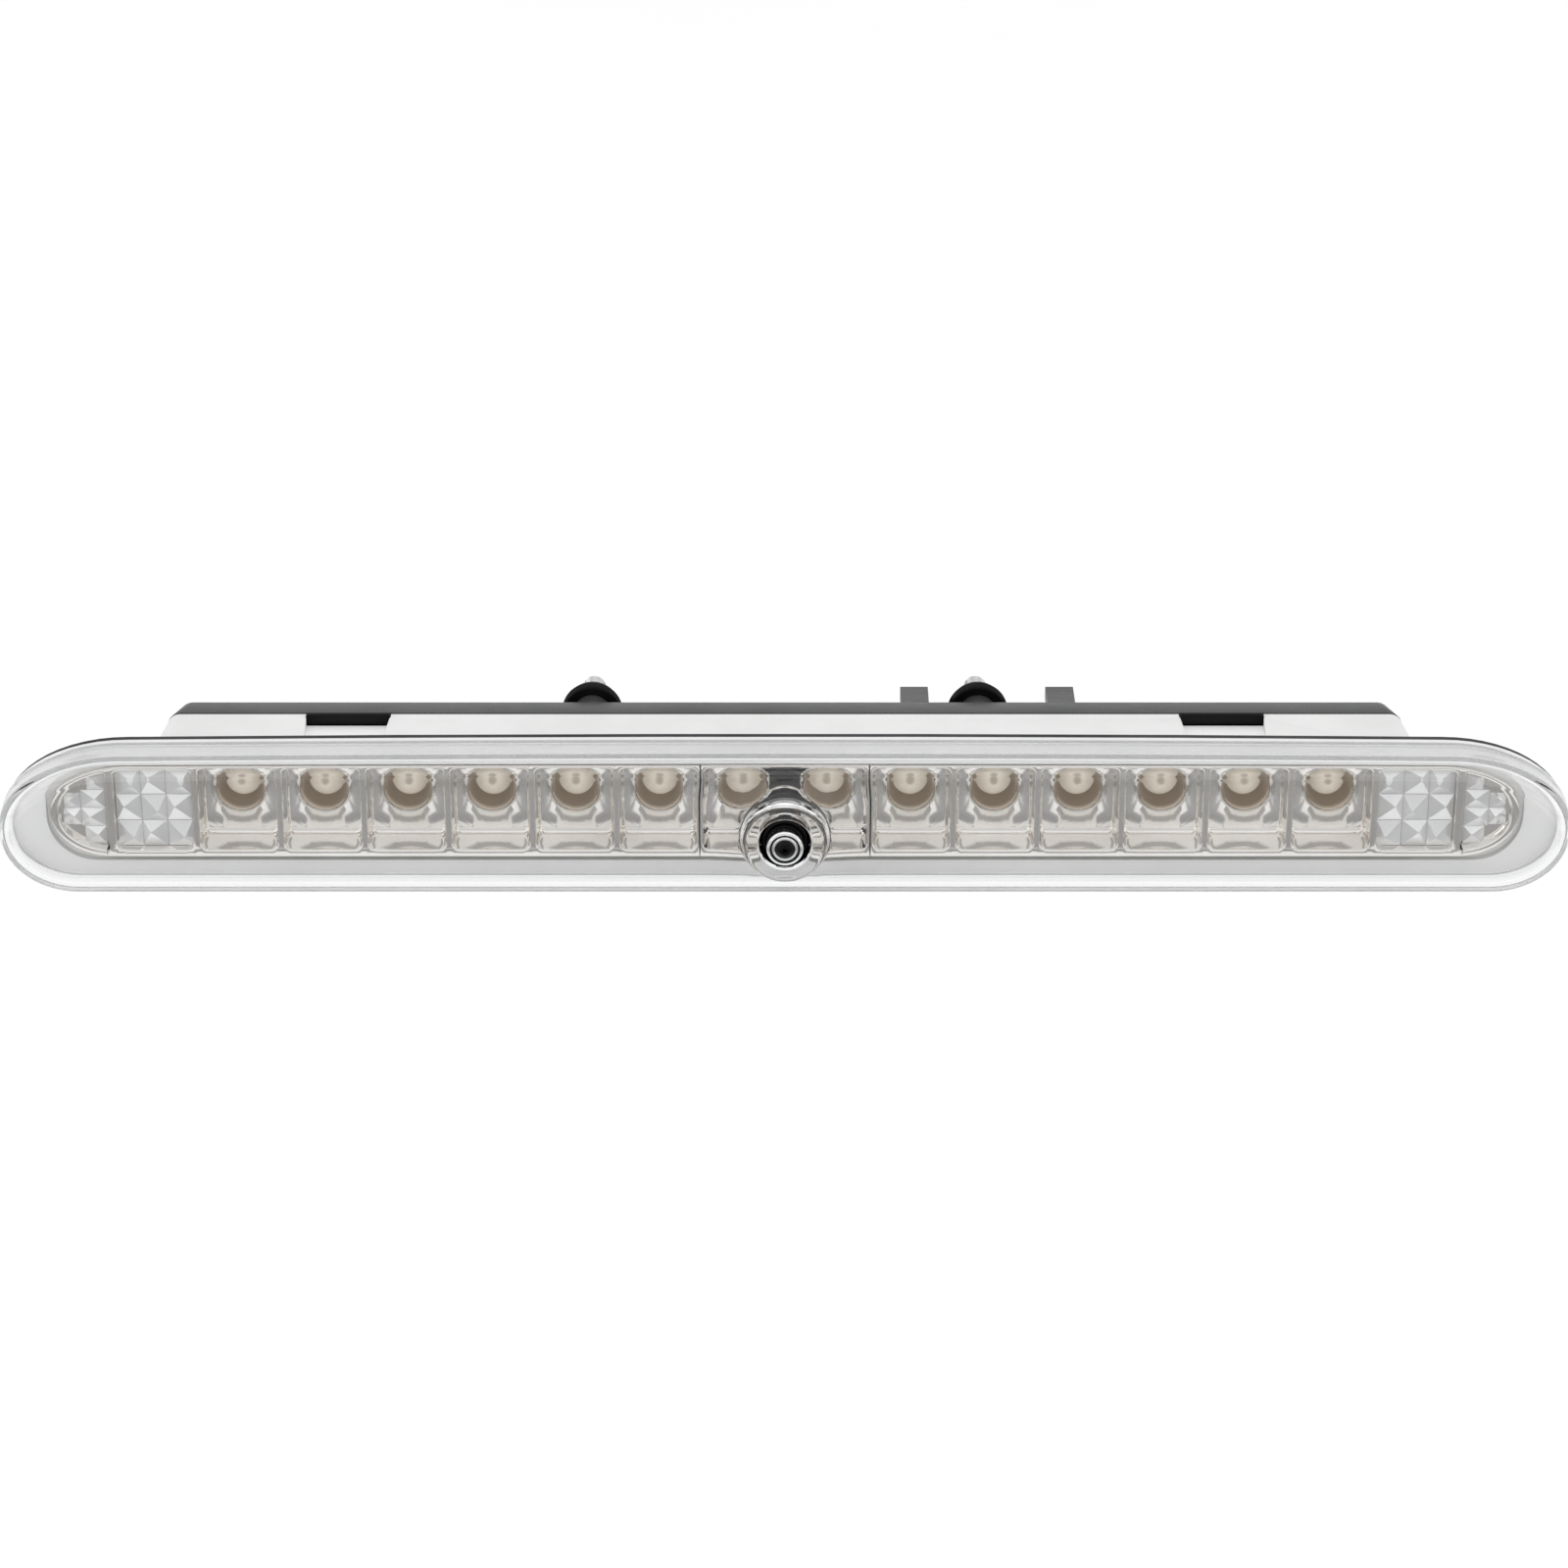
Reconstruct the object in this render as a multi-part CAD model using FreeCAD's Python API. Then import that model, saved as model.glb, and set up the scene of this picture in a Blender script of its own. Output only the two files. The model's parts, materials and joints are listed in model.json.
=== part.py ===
"""Third brake light for a car tailgate: a long clear-lens LED lamp with the rear window's washer jet
through its middle. Built as the separate pieces that it comes apart into.

Frame, millimetres: +X to the right as seen from behind the car, +Y into the tailgate, +Z up.
Origin of the written parts: midway between the two studs, in the plane where their seals meet the
inner panel. The drawing itself counts Y from the gasket's seating face and Z from the lens's
mid-height, and every piece is moved to the origin as it is written.
"""

import FreeCAD
import Part
import math
import os

V = FreeCAD.Vector

# ---------------------------------------------------------------- driving dimensions
NOSE = 169.7          # half the lens's length
TOP = 16.9            # lens's top edge at the middle
TOP_END = 16.2        # lens's top edge where the end curves start
BOTTOM = -16.7        # lens's bottom edge
NOSE_Z = -2.0         # height of the lens's outermost points
END_TOP_A = 28.0      # length of the upper end curve
END_BOT_A = 17.0      # length of the lower end curve

GASKET_T = 2.0        # foam gasket, its rear face is y = 0
FLANGE_T = 1.6        # case's front flange
SEAL_T = 0.5          # bead between lens and case
TRAY_BACK = -1.8      # ledge that the reflectors stand on
TRAY_HALF = 159.8
LENS_WALL = 2.1
LENS_FRONT = -14.0    # lens's front face
LENS_ROUND = 4.5      # rounding of the lens's front edge
COLLAR_FRONT = -18.0  # front of the collar round the washer jet
COLLAR_R = 9.4
COLLAR_BORE = 5.6

PITCH = 18.2          # LED cell pitch
CELLS = 14
CELL_Z = 0.8          # height of the cells' middle
LED_Z = 2.6           # height of the LED row
RIM_Y = -4.4          # front plane of the chrome reflectors
RIM_NOSE = 158.8
CELL_W, CELL_H = 17.4, 19.2
CUP_R = 5.05          # round inner cup at its mouth
CUP_Y, CUP_END = 2.9, 9.0
KNEE_Y = 1.1          # depth where a cell's steep walls turn in to its floor
FLOOR_HX, FLOOR_HZ = 7.6, 7.9   # half size of a cell's floor, round its bowl
SPIGOT_END = 10.0     # back of the cups, just off the board

BOARD_Y, BOARD_T = 12.6, 1.6
BOARD_HALF, BOARD_HALF_Z = 125.0, 10.2
LED_R, LED_TIP = 4.0, 5.0

CASE_FRONT, CASE_REAR = 138.0, 136.0   # half lengths of the case's box
CASE_H1, CASE_H2 = 12.6, 12.4          # half heights
CASE_ROUND = 3.0
CASE_WALL = 1.6
CASE_END = 19.3
COVER_Y = 20.1        # rubber cord between case and cover fills the gap
COVER_END = 27.9
COVER_REAR = 133.9
COVER_H = 11.7
COVER_WALL = 1.8

HOOK_X, HOOK_W = 96.0, 18.0
POCKET_W, POCKET_W_FRONT = 18.7, 17.0
POCKET_FLOOR = 10.5
WELL_Y, WELL_FLOOR = 17.3, 8.4
HOOK_NOSE = 17.8
HOOK_ROOF = 11.15     # underside of the cover over a hook's root
HOOK_PIVOT_Y, HOOK_PIVOT_Z = 25.2, 9.2

STUD_X, STUD_Z = 43.0, 7.0
STUD_R, STUD_END = 2.5, 48.0
TOWER_R, TOWER_END = 4.2, 32.4
STUD_SEAL_R, STUD_SEAL_END = 6.75, 37.1

JET_Z = -1.5          # axis of the washer jet
HEAD_R, HEAD_FRONT, HEAD_END = 5.3, -16.1, -12.2
BALL_Y, BALL_R = -18.9, 2.5
RING_R, RING_FRONT = 3.95, -20.4
TUBE_R, TUBE_BORE, TUBE_END = 3.3, 1.5, 34.1
TAIL_END = 50.1

BOARD_SCREWS = [(36.4, 7.3), (-36.4, 7.3), (72.8, -5.7), (-72.8, -5.7), (109.2, 6.4), (-109.2, 6.4), (0.0, 7.9), (0.0, -7.8)]
COVER_SCREWS = [(130.4, 0.0), (-130.4, 0.0), (72.8, 7.4), (-72.8, 7.4), (64.0, -7.4), (-64.0, -7.4)]
PLUG_X, PLUG_Z = 85.0, -3.0
VENT_X, VENT_Z = -85.0, -3.0

os.makedirs("parts", exist_ok=True)
NODES = {}


# ---------------------------------------------------------------- helpers
def box(x0, x1, y0, y1, z0, z1):
    return Part.makeBox(x1 - x0, y1 - y0, z1 - z0, V(x0, y0, z0))


def cyl(r, x, z, y0, y1):
    """A cylinder along +Y."""
    return Part.makeCylinder(r, y1 - y0, V(x, y0, z), V(0, 1, 0))


def tube(r, bore, x, z, y0, y1):
    return cyl(r, x, z, y0, y1).cut(cyl(bore, x, z, y0 - 1, y1 + 1))


def revolve_y(points, x, z):
    """A solid turned about an axis along Y through (x, z). Points are (radius, y)."""
    face = Part.Face(Part.makePolygon([V(x + r, y, z) for r, y in points] + [V(x + points[0][0], points[0][1], z)]))
    return face.revolve(V(x, 0, z), V(0, 1, 0), 360)


def joined(shapes):
    out = shapes[0]
    if len(shapes) > 1:
        out = out.multiFuse(shapes[1:])
    return out.removeSplitter()


def oval(y, nose, top, top_end, bottom, nose_z, a1, a2):
    """The lamp's outline at depth y: arched top, flat bottom, elliptical ends."""
    b1, b2 = top_end - nose_z, nose_z - bottom
    c1, c2 = nose - a1, nose - a2
    edges = [Part.Arc(V(-c1, y, top_end), V(0, y, top), V(c1, y, top_end)).toShape()]
    for s in (1, -1):
        up = Part.Ellipse(V(s * nose, y, nose_z), V(s * c1, y, nose_z + b1), V(s * c1, y, nose_z))
        edges.append(Part.ArcOfEllipse(up, 0, math.pi / 2).toShape())
        if a2 > b2:
            low = Part.Ellipse(V(s * nose, y, nose_z), V(s * c2, y, nose_z - b2), V(s * c2, y, nose_z))
            edges.append(Part.ArcOfEllipse(low, 0, math.pi / 2).toShape())
        else:
            low = Part.Ellipse(V(s * c2, y, nose_z - b2), V(s * nose, y, nose_z), V(s * c2, y, nose_z))
            edges.append(Part.ArcOfEllipse(low, 0, math.pi / 2).toShape())
    edges.append(Part.makeLine(V(-c2, y, bottom), V(c2, y, bottom)))
    return Part.Wire(Part.__sortEdges__(edges))


def lens_outline(y, d):
    return oval(y, NOSE - d, TOP - d, TOP_END - d, BOTTOM + d, NOSE_Z, END_TOP_A - d, END_BOT_A - d)


def slab(wire, depth):
    return Part.Face(wire).extrude(V(0, depth, 0))


def rounded(y, hx, hz, r, cx=0.0, cz=0.0):
    """A rounded rectangle at depth y."""
    x0, x1, z0, z1 = cx - hx, cx + hx, cz - hz, cz + hz
    k = r * (1 - math.sqrt(0.5))
    e = []
    if hx - r > 1e-6:
        e.append(Part.makeLine(V(x0 + r, y, z0), V(x1 - r, y, z0)))
    e.append(Part.Arc(V(x1 - r, y, z0), V(x1 - k, y, z0 + k), V(x1, y, z0 + r)).toShape())
    if hz - r > 1e-6:
        e.append(Part.makeLine(V(x1, y, z0 + r), V(x1, y, z1 - r)))
    e.append(Part.Arc(V(x1, y, z1 - r), V(x1 - k, y, z1 - k), V(x1 - r, y, z1)).toShape())
    if hx - r > 1e-6:
        e.append(Part.makeLine(V(x1 - r, y, z1), V(x0 + r, y, z1)))
    e.append(Part.Arc(V(x0 + r, y, z1), V(x0 + k, y, z1 - k), V(x0, y, z1 - r)).toShape())
    if hz - r > 1e-6:
        e.append(Part.makeLine(V(x0, y, z1 - r), V(x0, y, z0 + r)))
    e.append(Part.Arc(V(x0, y, z0 + r), V(x0 + k, y, z0 + k), V(x0 + r, y, z0)).toShape())
    return Part.Wire(e)


def loft(wires, ruled=False):
    return Part.makeLoft(wires, True, ruled)


def group(shapes):
    return Part.makeCompound(shapes)


def put(name, shape):
    solids = shape.Solids
    assert solids, name
    for s in solids:
        assert s.isValid() and s.Volume > 0, f"{name} has a bad solid"
    shape = solids[0].copy() if len(solids) == 1 else Part.makeCompound(solids)
    shape.translate(V(0, -STUD_SEAL_END, -STUD_Z))
    shape.exportStep(f"parts/{name}.step")
    NODES[name] = shape
    b = shape.BoundBox
    print(f"{name:18s} {len(solids):3d} solids {shape.Volume:10.1f} mm3  x {b.XMin:.1f}..{b.XMax:.1f} y {b.YMin:.1f}..{b.YMax:.1f} z {b.ZMin:.1f}..{b.ZMax:.1f}")


# ---------------------------------------------------------------- lens and its bead
FLANGE_FRONT = -GASKET_T - FLANGE_T
FOOT = FLANGE_FRONT - SEAL_T


def lens_profile(radius):
    """Depth and inset of the lens's sections: straight side, then a rounded front edge."""
    mid, inset = LENS_FRONT + LENS_ROUND, LENS_ROUND + 0.3
    side = inset - radius
    points = [(FOOT, side - 0.3), (FOOT - 2.6, side - 0.15), (mid, side)]
    for t in (15, 30, 45, 60, 75, 90):
        points.append((mid - radius * math.sin(math.radians(t)), inset - radius * math.cos(math.radians(t))))
    return points


def make_lens():
    outer = loft([lens_outline(y, d) for y, d in lens_profile(LENS_ROUND)], True)
    inner = loft([lens_outline(y + (0.001 if i == 0 else 0), d) for i, (y, d) in enumerate(lens_profile(LENS_ROUND - LENS_WALL))], True)
    skin = outer.cut(inner)
    collar = revolve_y([(0, -12.4), (COLLAR_R + 0.9, -12.4), (COLLAR_R + 0.4, -14.2), (COLLAR_R, -15.2), (COLLAR_R - 0.2, -16.6), (COLLAR_R - 0.7, -17.5), (COLLAR_R - 1.5, COLLAR_FRONT), (0, COLLAR_FRONT)], 0, JET_Z)
    skin = skin.fuse(collar)
    bore = revolve_y([(0, -10), (COLLAR_BORE, -10), (COLLAR_BORE, COLLAR_FRONT + 0.5), (COLLAR_BORE + 0.5, COLLAR_FRONT), (COLLAR_BORE + 0.5, COLLAR_FRONT - 1), (0, COLLAR_FRONT - 1)], 0, JET_Z)
    return skin.cut(bore).removeSplitter()


put("outer_lens", make_lens())
put("lens_seal", slab(lens_outline(FOOT, 0.5), SEAL_T).cut(slab(lens_outline(FOOT - 1, 1.8), SEAL_T + 2)))


# ---------------------------------------------------------------- chrome reflectors
def rim_outline(y, d):
    return oval(y, RIM_NOSE - d, 11.4 - d, 11.2 - d, -10.5 + d, -0.2, 17.5 - d, 13.0 - d)


def cup_cavity(x):
    """One LED cell: a square mouth with sloping walls, a flat floor, and a round bowl in the floor."""
    mouth = loft([rounded(RIM_Y - 0.01, CELL_W / 2, CELL_H / 2, 1.6, x, CELL_Z), rounded(KNEE_Y, CELL_W / 2 - 0.4, CELL_H / 2 - 0.4, 1.5, x, CELL_Z), rounded(CUP_Y, FLOOR_HX, FLOOR_HZ, 1.3, x, CELL_Z)], True)
    return mouth.fuse(bowl_cavity(x))


def bowl_cavity(x):
    bowl = revolve_y([(0, CUP_Y - 0.2), (CUP_R, CUP_Y - 0.2), (CUP_R, CUP_Y + 1.0), (CUP_R - 0.15, 5.8), (CUP_R - 0.4, 7.5), (LED_R + 0.35, CUP_END), (0, CUP_END)], x, LED_Z)
    return bowl.fuse(cyl(LED_R + 0.3, x, LED_Z, CUP_END - 1, SPIGOT_END + 1))


def bowl_body(x):
    return revolve_y([(0, CUP_Y - 0.5), (CUP_R + 0.75, CUP_Y - 0.5), (CUP_R + 0.75, CUP_Y + 1.6), (CUP_R + 0.5, 6.8), (LED_R + 1.1, SPIGOT_END), (0, SPIGOT_END)], x, LED_Z)


def cup_body(x):
    mouth = loft([rounded(-3.3, CELL_W / 2 + 0.4, CELL_H / 2 + 0.5, 2.2, x, CELL_Z), rounded(KNEE_Y + 0.4, CELL_W / 2 + 0.35, CELL_H / 2 + 0.25, 2.2, x, CELL_Z), rounded(CUP_Y + 0.85, FLOOR_HX + 0.8, FLOOR_HZ + 0.8, 2.0, x, CELL_Z)], True)
    return mouth.fuse(bowl_body(x))


def crystal(x, z, w, h, y_base, height):
    """One low four-sided facet with its point towards the viewer."""
    base = Part.makePolygon([V(x - w / 2, y_base, z - h / 2), V(x + w / 2, y_base, z - h / 2), V(x + w / 2, y_base, z + h / 2), V(x - w / 2, y_base, z + h / 2), V(x - w / 2, y_base, z - h / 2)])
    tip = Part.makePolygon([V(x - 0.3, y_base - height, z - 0.3), V(x + 0.3, y_base - height, z - 0.3), V(x + 0.3, y_base - height, z + 0.3), V(x - 0.3, y_base - height, z + 0.3), V(x - 0.3, y_base - height, z - 0.3)])
    return loft([base, tip], True)


def rim_parts(low, high):
    clip = box(low + 0.1, high - 0.1, -8, 14, -14, 14)
    rim = slab(rim_outline(RIM_Y, 0), 1.2)
    skirt = slab(rim_outline(-3.3, 0), TRAY_BACK + 3.2).cut(slab(rim_outline(-4.0, 1.1), 4))
    return clip, [rim.common(clip), skirt.common(clip)]


def make_side_reflector(s, cells, screws):
    low, high = (PITCH, 165.0) if s > 0 else (-165.0, -PITCH)
    clip, body = rim_parts(low, high)
    body += [cup_body(x).common(clip) for x in cells]
    body += [cyl(2.2, x, z, -2.4, BOARD_Y) for x, z in screws]
    cuts = [cup_cavity(x) for x in cells]
    cuts += [cyl(0.95, x, z, 6.0, BOARD_Y + 1) for x, z in screws]
    cx = s * 7.5 * PITCH
    body.append(slab(rim_outline(-3.3, 0.5), TRAY_BACK + 3.2).common(box(min(s * 127.2, s * 160), max(s * 127.2, s * 160), -6, 0, -12, 12)))
    cuts.append(slab(rounded(RIM_Y - 1, 8.6, 9.5, 2.0, cx, CELL_Z - 0.2), 2.7))
    tail = slab(rim_outline(RIM_Y - 1, 1.3), 2.7).common(box(min(s * 146.4, s * 160), max(s * 146.4, s * 160), -8, 0, -8.9, 9.9))
    cuts.append(tail)
    out = joined(body)
    for c in cuts:
        out = out.cut(c)
    facets = [crystal(cx + (i - 1) * 5.5, CELL_Z - 0.2 + (k - 1) * 6.1, 5.4, 6.0, -2.6, 1.5) for i in range(3) for k in range(3)]
    facets += [crystal(s * 149.2, CELL_Z - 0.4 + (k - 1) * 4.6, 4.6, 4.5, -2.6, 1.4) for k in range(3)]
    return out.fuse(facets).removeSplitter()


def make_centre_reflector(cells, screws):
    clip, body = rim_parts(-PITCH, PITCH)
    outer = loft([rounded(-3.3, 18.0, CELL_H / 2 + 0.5, 2.2, 0, CELL_Z), rounded(KNEE_Y + 0.4, 17.9, CELL_H / 2 + 0.25, 2.2, 0, CELL_Z), rounded(CUP_Y + 0.85, 17.3, FLOOR_HZ + 0.8, 2.0, 0, CELL_Z)], True)
    body.append(outer.common(clip))
    body += [bowl_body(x) for x in cells]
    body += [cyl(2.2, x, z, 0.0, BOARD_Y) for x, z in screws]
    inner = loft([rounded(RIM_Y - 0.01, 17.6, CELL_H / 2, 1.6, 0, CELL_Z), rounded(KNEE_Y, 17.2, CELL_H / 2 - 0.4, 1.5, 0, CELL_Z), rounded(CUP_Y, 16.5, FLOOR_HZ, 1.3, 0, CELL_Z)], True)
    cuts = [inner] + [bowl_cavity(x) for x in cells]
    cuts += [cyl(0.95, x, z, 6.0, BOARD_Y + 1) for x, z in screws]
    cuts.append(cyl(TUBE_R + 0.4, 0, JET_Z, -10, 14))
    out = joined(body)
    for c in cuts:
        out = out.cut(c)
    return out.removeSplitter()


left_cells = [(-6.5 + i) * PITCH for i in range(6)]
right_cells = [(1.5 + i) * PITCH for i in range(6)]
put("reflector_left", make_side_reflector(-1, left_cells, [s for s in BOARD_SCREWS if s[0] < -1]))
put("reflector_right", make_side_reflector(1, right_cells, [s for s in BOARD_SCREWS if s[0] > 1]))
put("reflector_centre", make_centre_reflector([-0.5 * PITCH, 0.5 * PITCH], [s for s in BOARD_SCREWS if abs(s[0]) < 1]))

# ---------------------------------------------------------------- LEDs and board
led_x = [(-6.5 + i) * PITCH for i in range(CELLS)]
BOARD_BACK = BOARD_Y + BOARD_T


def led(x):
    tip = Part.makeSphere(LED_R, V(x, LED_TIP + LED_R, LED_Z)).common(box(x - 6, x + 6, 0, BOARD_Y - 0.9, LED_Z - 6, LED_Z + 6))
    body = cyl(LED_R, x, LED_Z, LED_TIP + LED_R, BOARD_Y - 0.9)
    flange = cyl(LED_R + 0.6, x, LED_Z, BOARD_Y - 1.0, BOARD_Y)
    return joined([tip, body, flange])


put("leds", group([led(x) for x in led_x]))
put("led_leads", group([cyl(0.28, x + dx, LED_Z, BOARD_Y, BOARD_BACK + 1.2) for x in led_x for dx in (-1.27, 1.27)]))

board = slab(rounded(BOARD_Y, BOARD_HALF, BOARD_HALF_Z, 1.5), BOARD_T)
holes = [cyl(0.33, x + dx, LED_Z, BOARD_Y - 1, BOARD_BACK + 1) for x in led_x for dx in (-1.27, 1.27)]
holes += [cyl(1.25, x, z, BOARD_Y - 1, BOARD_BACK + 1) for x, z in BOARD_SCREWS]
holes.append(cyl(TUBE_R + 0.7, 0, JET_Z, BOARD_Y - 1, BOARD_BACK + 1))
PINS = [PLUG_X - 2.6, PLUG_X + 2.6]
holes += [box(x - 1.25, x + 1.25, BOARD_Y - 1, BOARD_BACK + 1, PLUG_Z - 0.5, PLUG_Z + 0.5) for x in PINS]
for x, z in COVER_SCREWS:
    if abs(z) > 0.1:
        e = 1 if z > 0 else -1
        holes.append(cyl(3.5, x, z, BOARD_Y - 1, BOARD_BACK + 1).fuse(box(x - 3.5, x + 3.5, BOARD_Y - 1, BOARD_BACK + 1, min(z, e * 12), max(z, e * 12))))
for e in (-1, 1):
    holes.append(box(e * HOOK_X - 11.4, e * HOOK_X + 11.4, BOARD_Y - 1, BOARD_BACK + 1, 8.3, 12))
for h in holes:
    board = board.cut(h)
put("led_board", board)

RES = [(-100.0, -4.2), (-54.6, 3.6), (-45.5, -4.2), (27.5, -4.2), (54.5, 4.4)]
put("resistors", group([box(x - 1.6, x + 1.6, BOARD_BACK, BOARD_BACK + 0.6, z - 1.25, z + 1.25) for x, z in RES]))
put("rectifier_diode", joined([box(99.2, 103.6, BOARD_BACK, BOARD_BACK + 2.0, -5.3, -2.7), box(98.2, 104.6, BOARD_BACK, BOARD_BACK + 0.4, -4.7, -3.3)]))


def board_screw(x, z):
    y = BOARD_BACK
    head = revolve_y([(0, y), (2.0, y), (1.9, y + 0.8), (1.3, y + 1.35), (0, y + 1.4)], x, z)
    slot = box(x - 1.3, x + 1.3, y + 0.8, y + 3, z - 0.22, z + 0.22).fuse(box(x - 0.22, x + 0.22, y + 0.8, y + 3, z - 1.3, z + 1.3))
    return head.fuse(revolve_y([(0, 7.0), (0.45, 7.0), (0.95, 7.9), (0.95, y + 0.1), (0, y + 0.1)], x, z)).cut(slot)


put("board_screws", group([board_screw(x, z) for x, z in BOARD_SCREWS]))


# ---------------------------------------------------------------- case, gasket and cover rubber
def case_half(y):
    t = (y + GASKET_T) / (CASE_END + GASKET_T)
    return CASE_FRONT + (CASE_REAR - CASE_FRONT) * t, CASE_H1 + (CASE_H2 - CASE_H1) * t


def wedge(cx, y0, y1, w0, w1, z0, z1):
    """A box whose width changes from w0 to w1 along Y."""
    pts = [V(cx - w0 / 2, y0, z0), V(cx + w0 / 2, y0, z0), V(cx + w1 / 2, y1, z0), V(cx - w1 / 2, y1, z0), V(cx - w0 / 2, y0, z0)]
    return Part.Face(Part.makePolygon(pts)).extrude(V(0, 0, z1 - z0))


def case_wall(y0, y1):
    """The case's box between two depths: wall ring with the two hook pockets let into its top."""
    (x0, z0), (x1, z1) = case_half(y0), case_half(y1)
    out = loft([rounded(y0, x0, z0, CASE_ROUND), rounded(y1, x1, z1, CASE_ROUND)], True)
    inn = loft([rounded(y0 - 0.001, x0 - CASE_WALL, z0 - CASE_WALL, CASE_ROUND - 1.4), rounded(y1 + 0.001, x1 - CASE_WALL, z1 - CASE_WALL, CASE_ROUND - 1.4)], True)
    wall = out.cut(inn)
    for s in (-1, 1):
        cx = s * HOOK_X
        if y0 < 4.0:
            wall = wall.fuse(box(cx - POCKET_W / 2 - 1.2, cx + POCKET_W / 2 + 1.2, 4.0, y1, POCKET_FLOOR - 1.6, z1 - 0.8))
            wall = wall.fuse(box(cx - POCKET_W / 2 - 1.2, cx + POCKET_W / 2 + 1.2, WELL_Y - 1.2, y1, WELL_FLOOR - 1.4, z1 - 0.8))
            wall = wall.cut(wedge(cx, 5.4, y1 + 1, POCKET_W_FRONT, POCKET_W, POCKET_FLOOR, z0 + 2))
        else:
            wall = wall.fuse(box(cx - POCKET_W / 2 - 1.2, cx + POCKET_W / 2 + 1.2, y0, y1, WELL_FLOOR - 1.4, z1 - 0.8))
        wall = wall.cut(box(cx - POCKET_W / 2, cx + POCKET_W / 2, max(WELL_Y, y0 - 1), y1 + 1, WELL_FLOOR, z0 + 2))
    return wall


window = slab(rounded(FLANGE_FRONT - 1, TRAY_HALF, 11.7, 10.4), TRAY_BACK - FLANGE_FRONT + 1)
deep = slab(rounded(TRAY_BACK - 1, CASE_FRONT - CASE_WALL, CASE_H1 - CASE_WALL, CASE_ROUND - 1.4), 1 - TRAY_BACK)
flange = slab(lens_outline(FLANGE_FRONT, 0.3), FLANGE_T)
tray = slab(rounded(FLANGE_FRONT + 0.4, TRAY_HALF + 1.5, CASE_H1, 11.4), -FLANGE_FRONT - 0.6)
case = flange.fuse(tray).cut(window).cut(deep).fuse(case_wall(-GASKET_T + 0.4, CASE_END))
bosses, pilots = [], []
for x, z in COVER_SCREWS:
    if abs(z) < 0.1:
        s = 1 if x > 0 else -1
        bosses.append(cyl(3.0, x, z, 11.0, CASE_END).fuse(box(min(x, s * 135.2), max(x, s * 135.2), 11.0, CASE_END, -1.5, 1.5)))
    else:
        s = 1 if z > 0 else -1
        bosses.append(cyl(3.0, x, z, 11.0, CASE_END).fuse(box(x - 1.5, x + 1.5, 11.0, CASE_END, min(z, s * 11.4), max(z, s * 11.4))))
    pilots.append(cyl(1.4, x, z, 12.4, 22))
case = case.multiFuse(bosses)
for p in pilots:
    case = case.cut(p)
put("housing", case.removeSplitter())
put("cover_seal", case_wall(CASE_END, COVER_Y).removeSplitter())
put("flange_gasket", slab(lens_outline(-GASKET_T, 0.5), GASKET_T).cut(slab(rounded(-3, TRAY_HALF + 2.2, CASE_H1 + 0.7, 12.1), 4)))


# ---------------------------------------------------------------- rear cover
shell = loft([rounded(COVER_Y, CASE_REAR, CASE_H2, CASE_ROUND), rounded(COVER_END - 0.8, COVER_REAR + 0.3, COVER_H + 0.1, CASE_ROUND), rounded(COVER_END, COVER_REAR - 0.5, COVER_H - 0.7, 2.4)], True)
hollow = loft([rounded(COVER_Y - 0.001, CASE_REAR - COVER_WALL, CASE_H2 - COVER_WALL, 1.6), rounded(COVER_END - 2.0, COVER_REAR + 0.6 - COVER_WALL, COVER_H + 0.2 - COVER_WALL, 1.6)], True)
cover = shell.cut(hollow)
add, cut = [], []
for x, z in COVER_SCREWS:
    add.append(cyl(3.0, x, z, COVER_Y, COVER_END - 1.0))
    if abs(z) < 0.1:
        s = 1 if x > 0 else -1
        add.append(box(min(x, s * 133.6), max(x, s * 133.6), COVER_Y, COVER_END - 1.0, -1.5, 1.5))
    cut.append(cyl(1.65, x, z, 15, 32))
for s in (-1, 1):
    add.append(cyl(5.4, s * STUD_X, STUD_Z, 22.1, COVER_END - 1.0).common(box(-200, 200, 0, 50, -20, 11.2)))
    add.append(revolve_y([(0, 27.0), (TOWER_R + 0.5, 27.0), (TOWER_R + 0.5, COVER_END), (TOWER_R, COVER_END + 0.7), (TOWER_R, TOWER_END), (0, TOWER_END)], s * STUD_X, STUD_Z))
    cx = s * HOOK_X
    add.append(box(cx - POCKET_W / 2 - 1.5, cx + POCKET_W / 2 + 1.5, COVER_Y, COVER_END - 1.0, 6.4, 11.4))
    cut.append(box(cx - POCKET_W / 2, cx + POCKET_W / 2, 18.0, 26.6, 7.8, HOOK_ROOF))
    cut.append(Part.makeCylinder(0.76, POCKET_W + 2.4, V(cx - POCKET_W / 2 - 1.2, HOOK_PIVOT_Y, HOOK_PIVOT_Z), V(1, 0, 0)))
    cut.append(cyl(2.9, s * STUD_X, STUD_Z, 15, 40))
    cut.append(cyl(4.2, s * STUD_X, STUD_Z, 15, 24.1))
for tx in (28.9, 61.4):
    tab = box(tx - 3.1, tx + 3.1, COVER_END - 1.5, 38.0, 8.0, 11.0)
    add.append(tab.makeFillet(0.6, [e for e in tab.Edges if abs(e.tangentAt(e.FirstParameter).x) > 0.9 and e.Vertexes[0].Y > 30]))
add.append(cyl(6.4, 0, JET_Z, 23.4, COVER_END))
cut.append(cyl(TUBE_R + 0.06, 0, JET_Z, 15, 32))
cut.append(cyl(5.06, 0, JET_Z, 15, 25.9))
cut.append(box(PLUG_X - 7.6, PLUG_X + 7.6, 22, 32, PLUG_Z - 4.6, PLUG_Z + 4.6))
cut.append(cyl(1.6, VENT_X, VENT_Z, 22, 32))
cover = cover.multiFuse(add)
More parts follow.
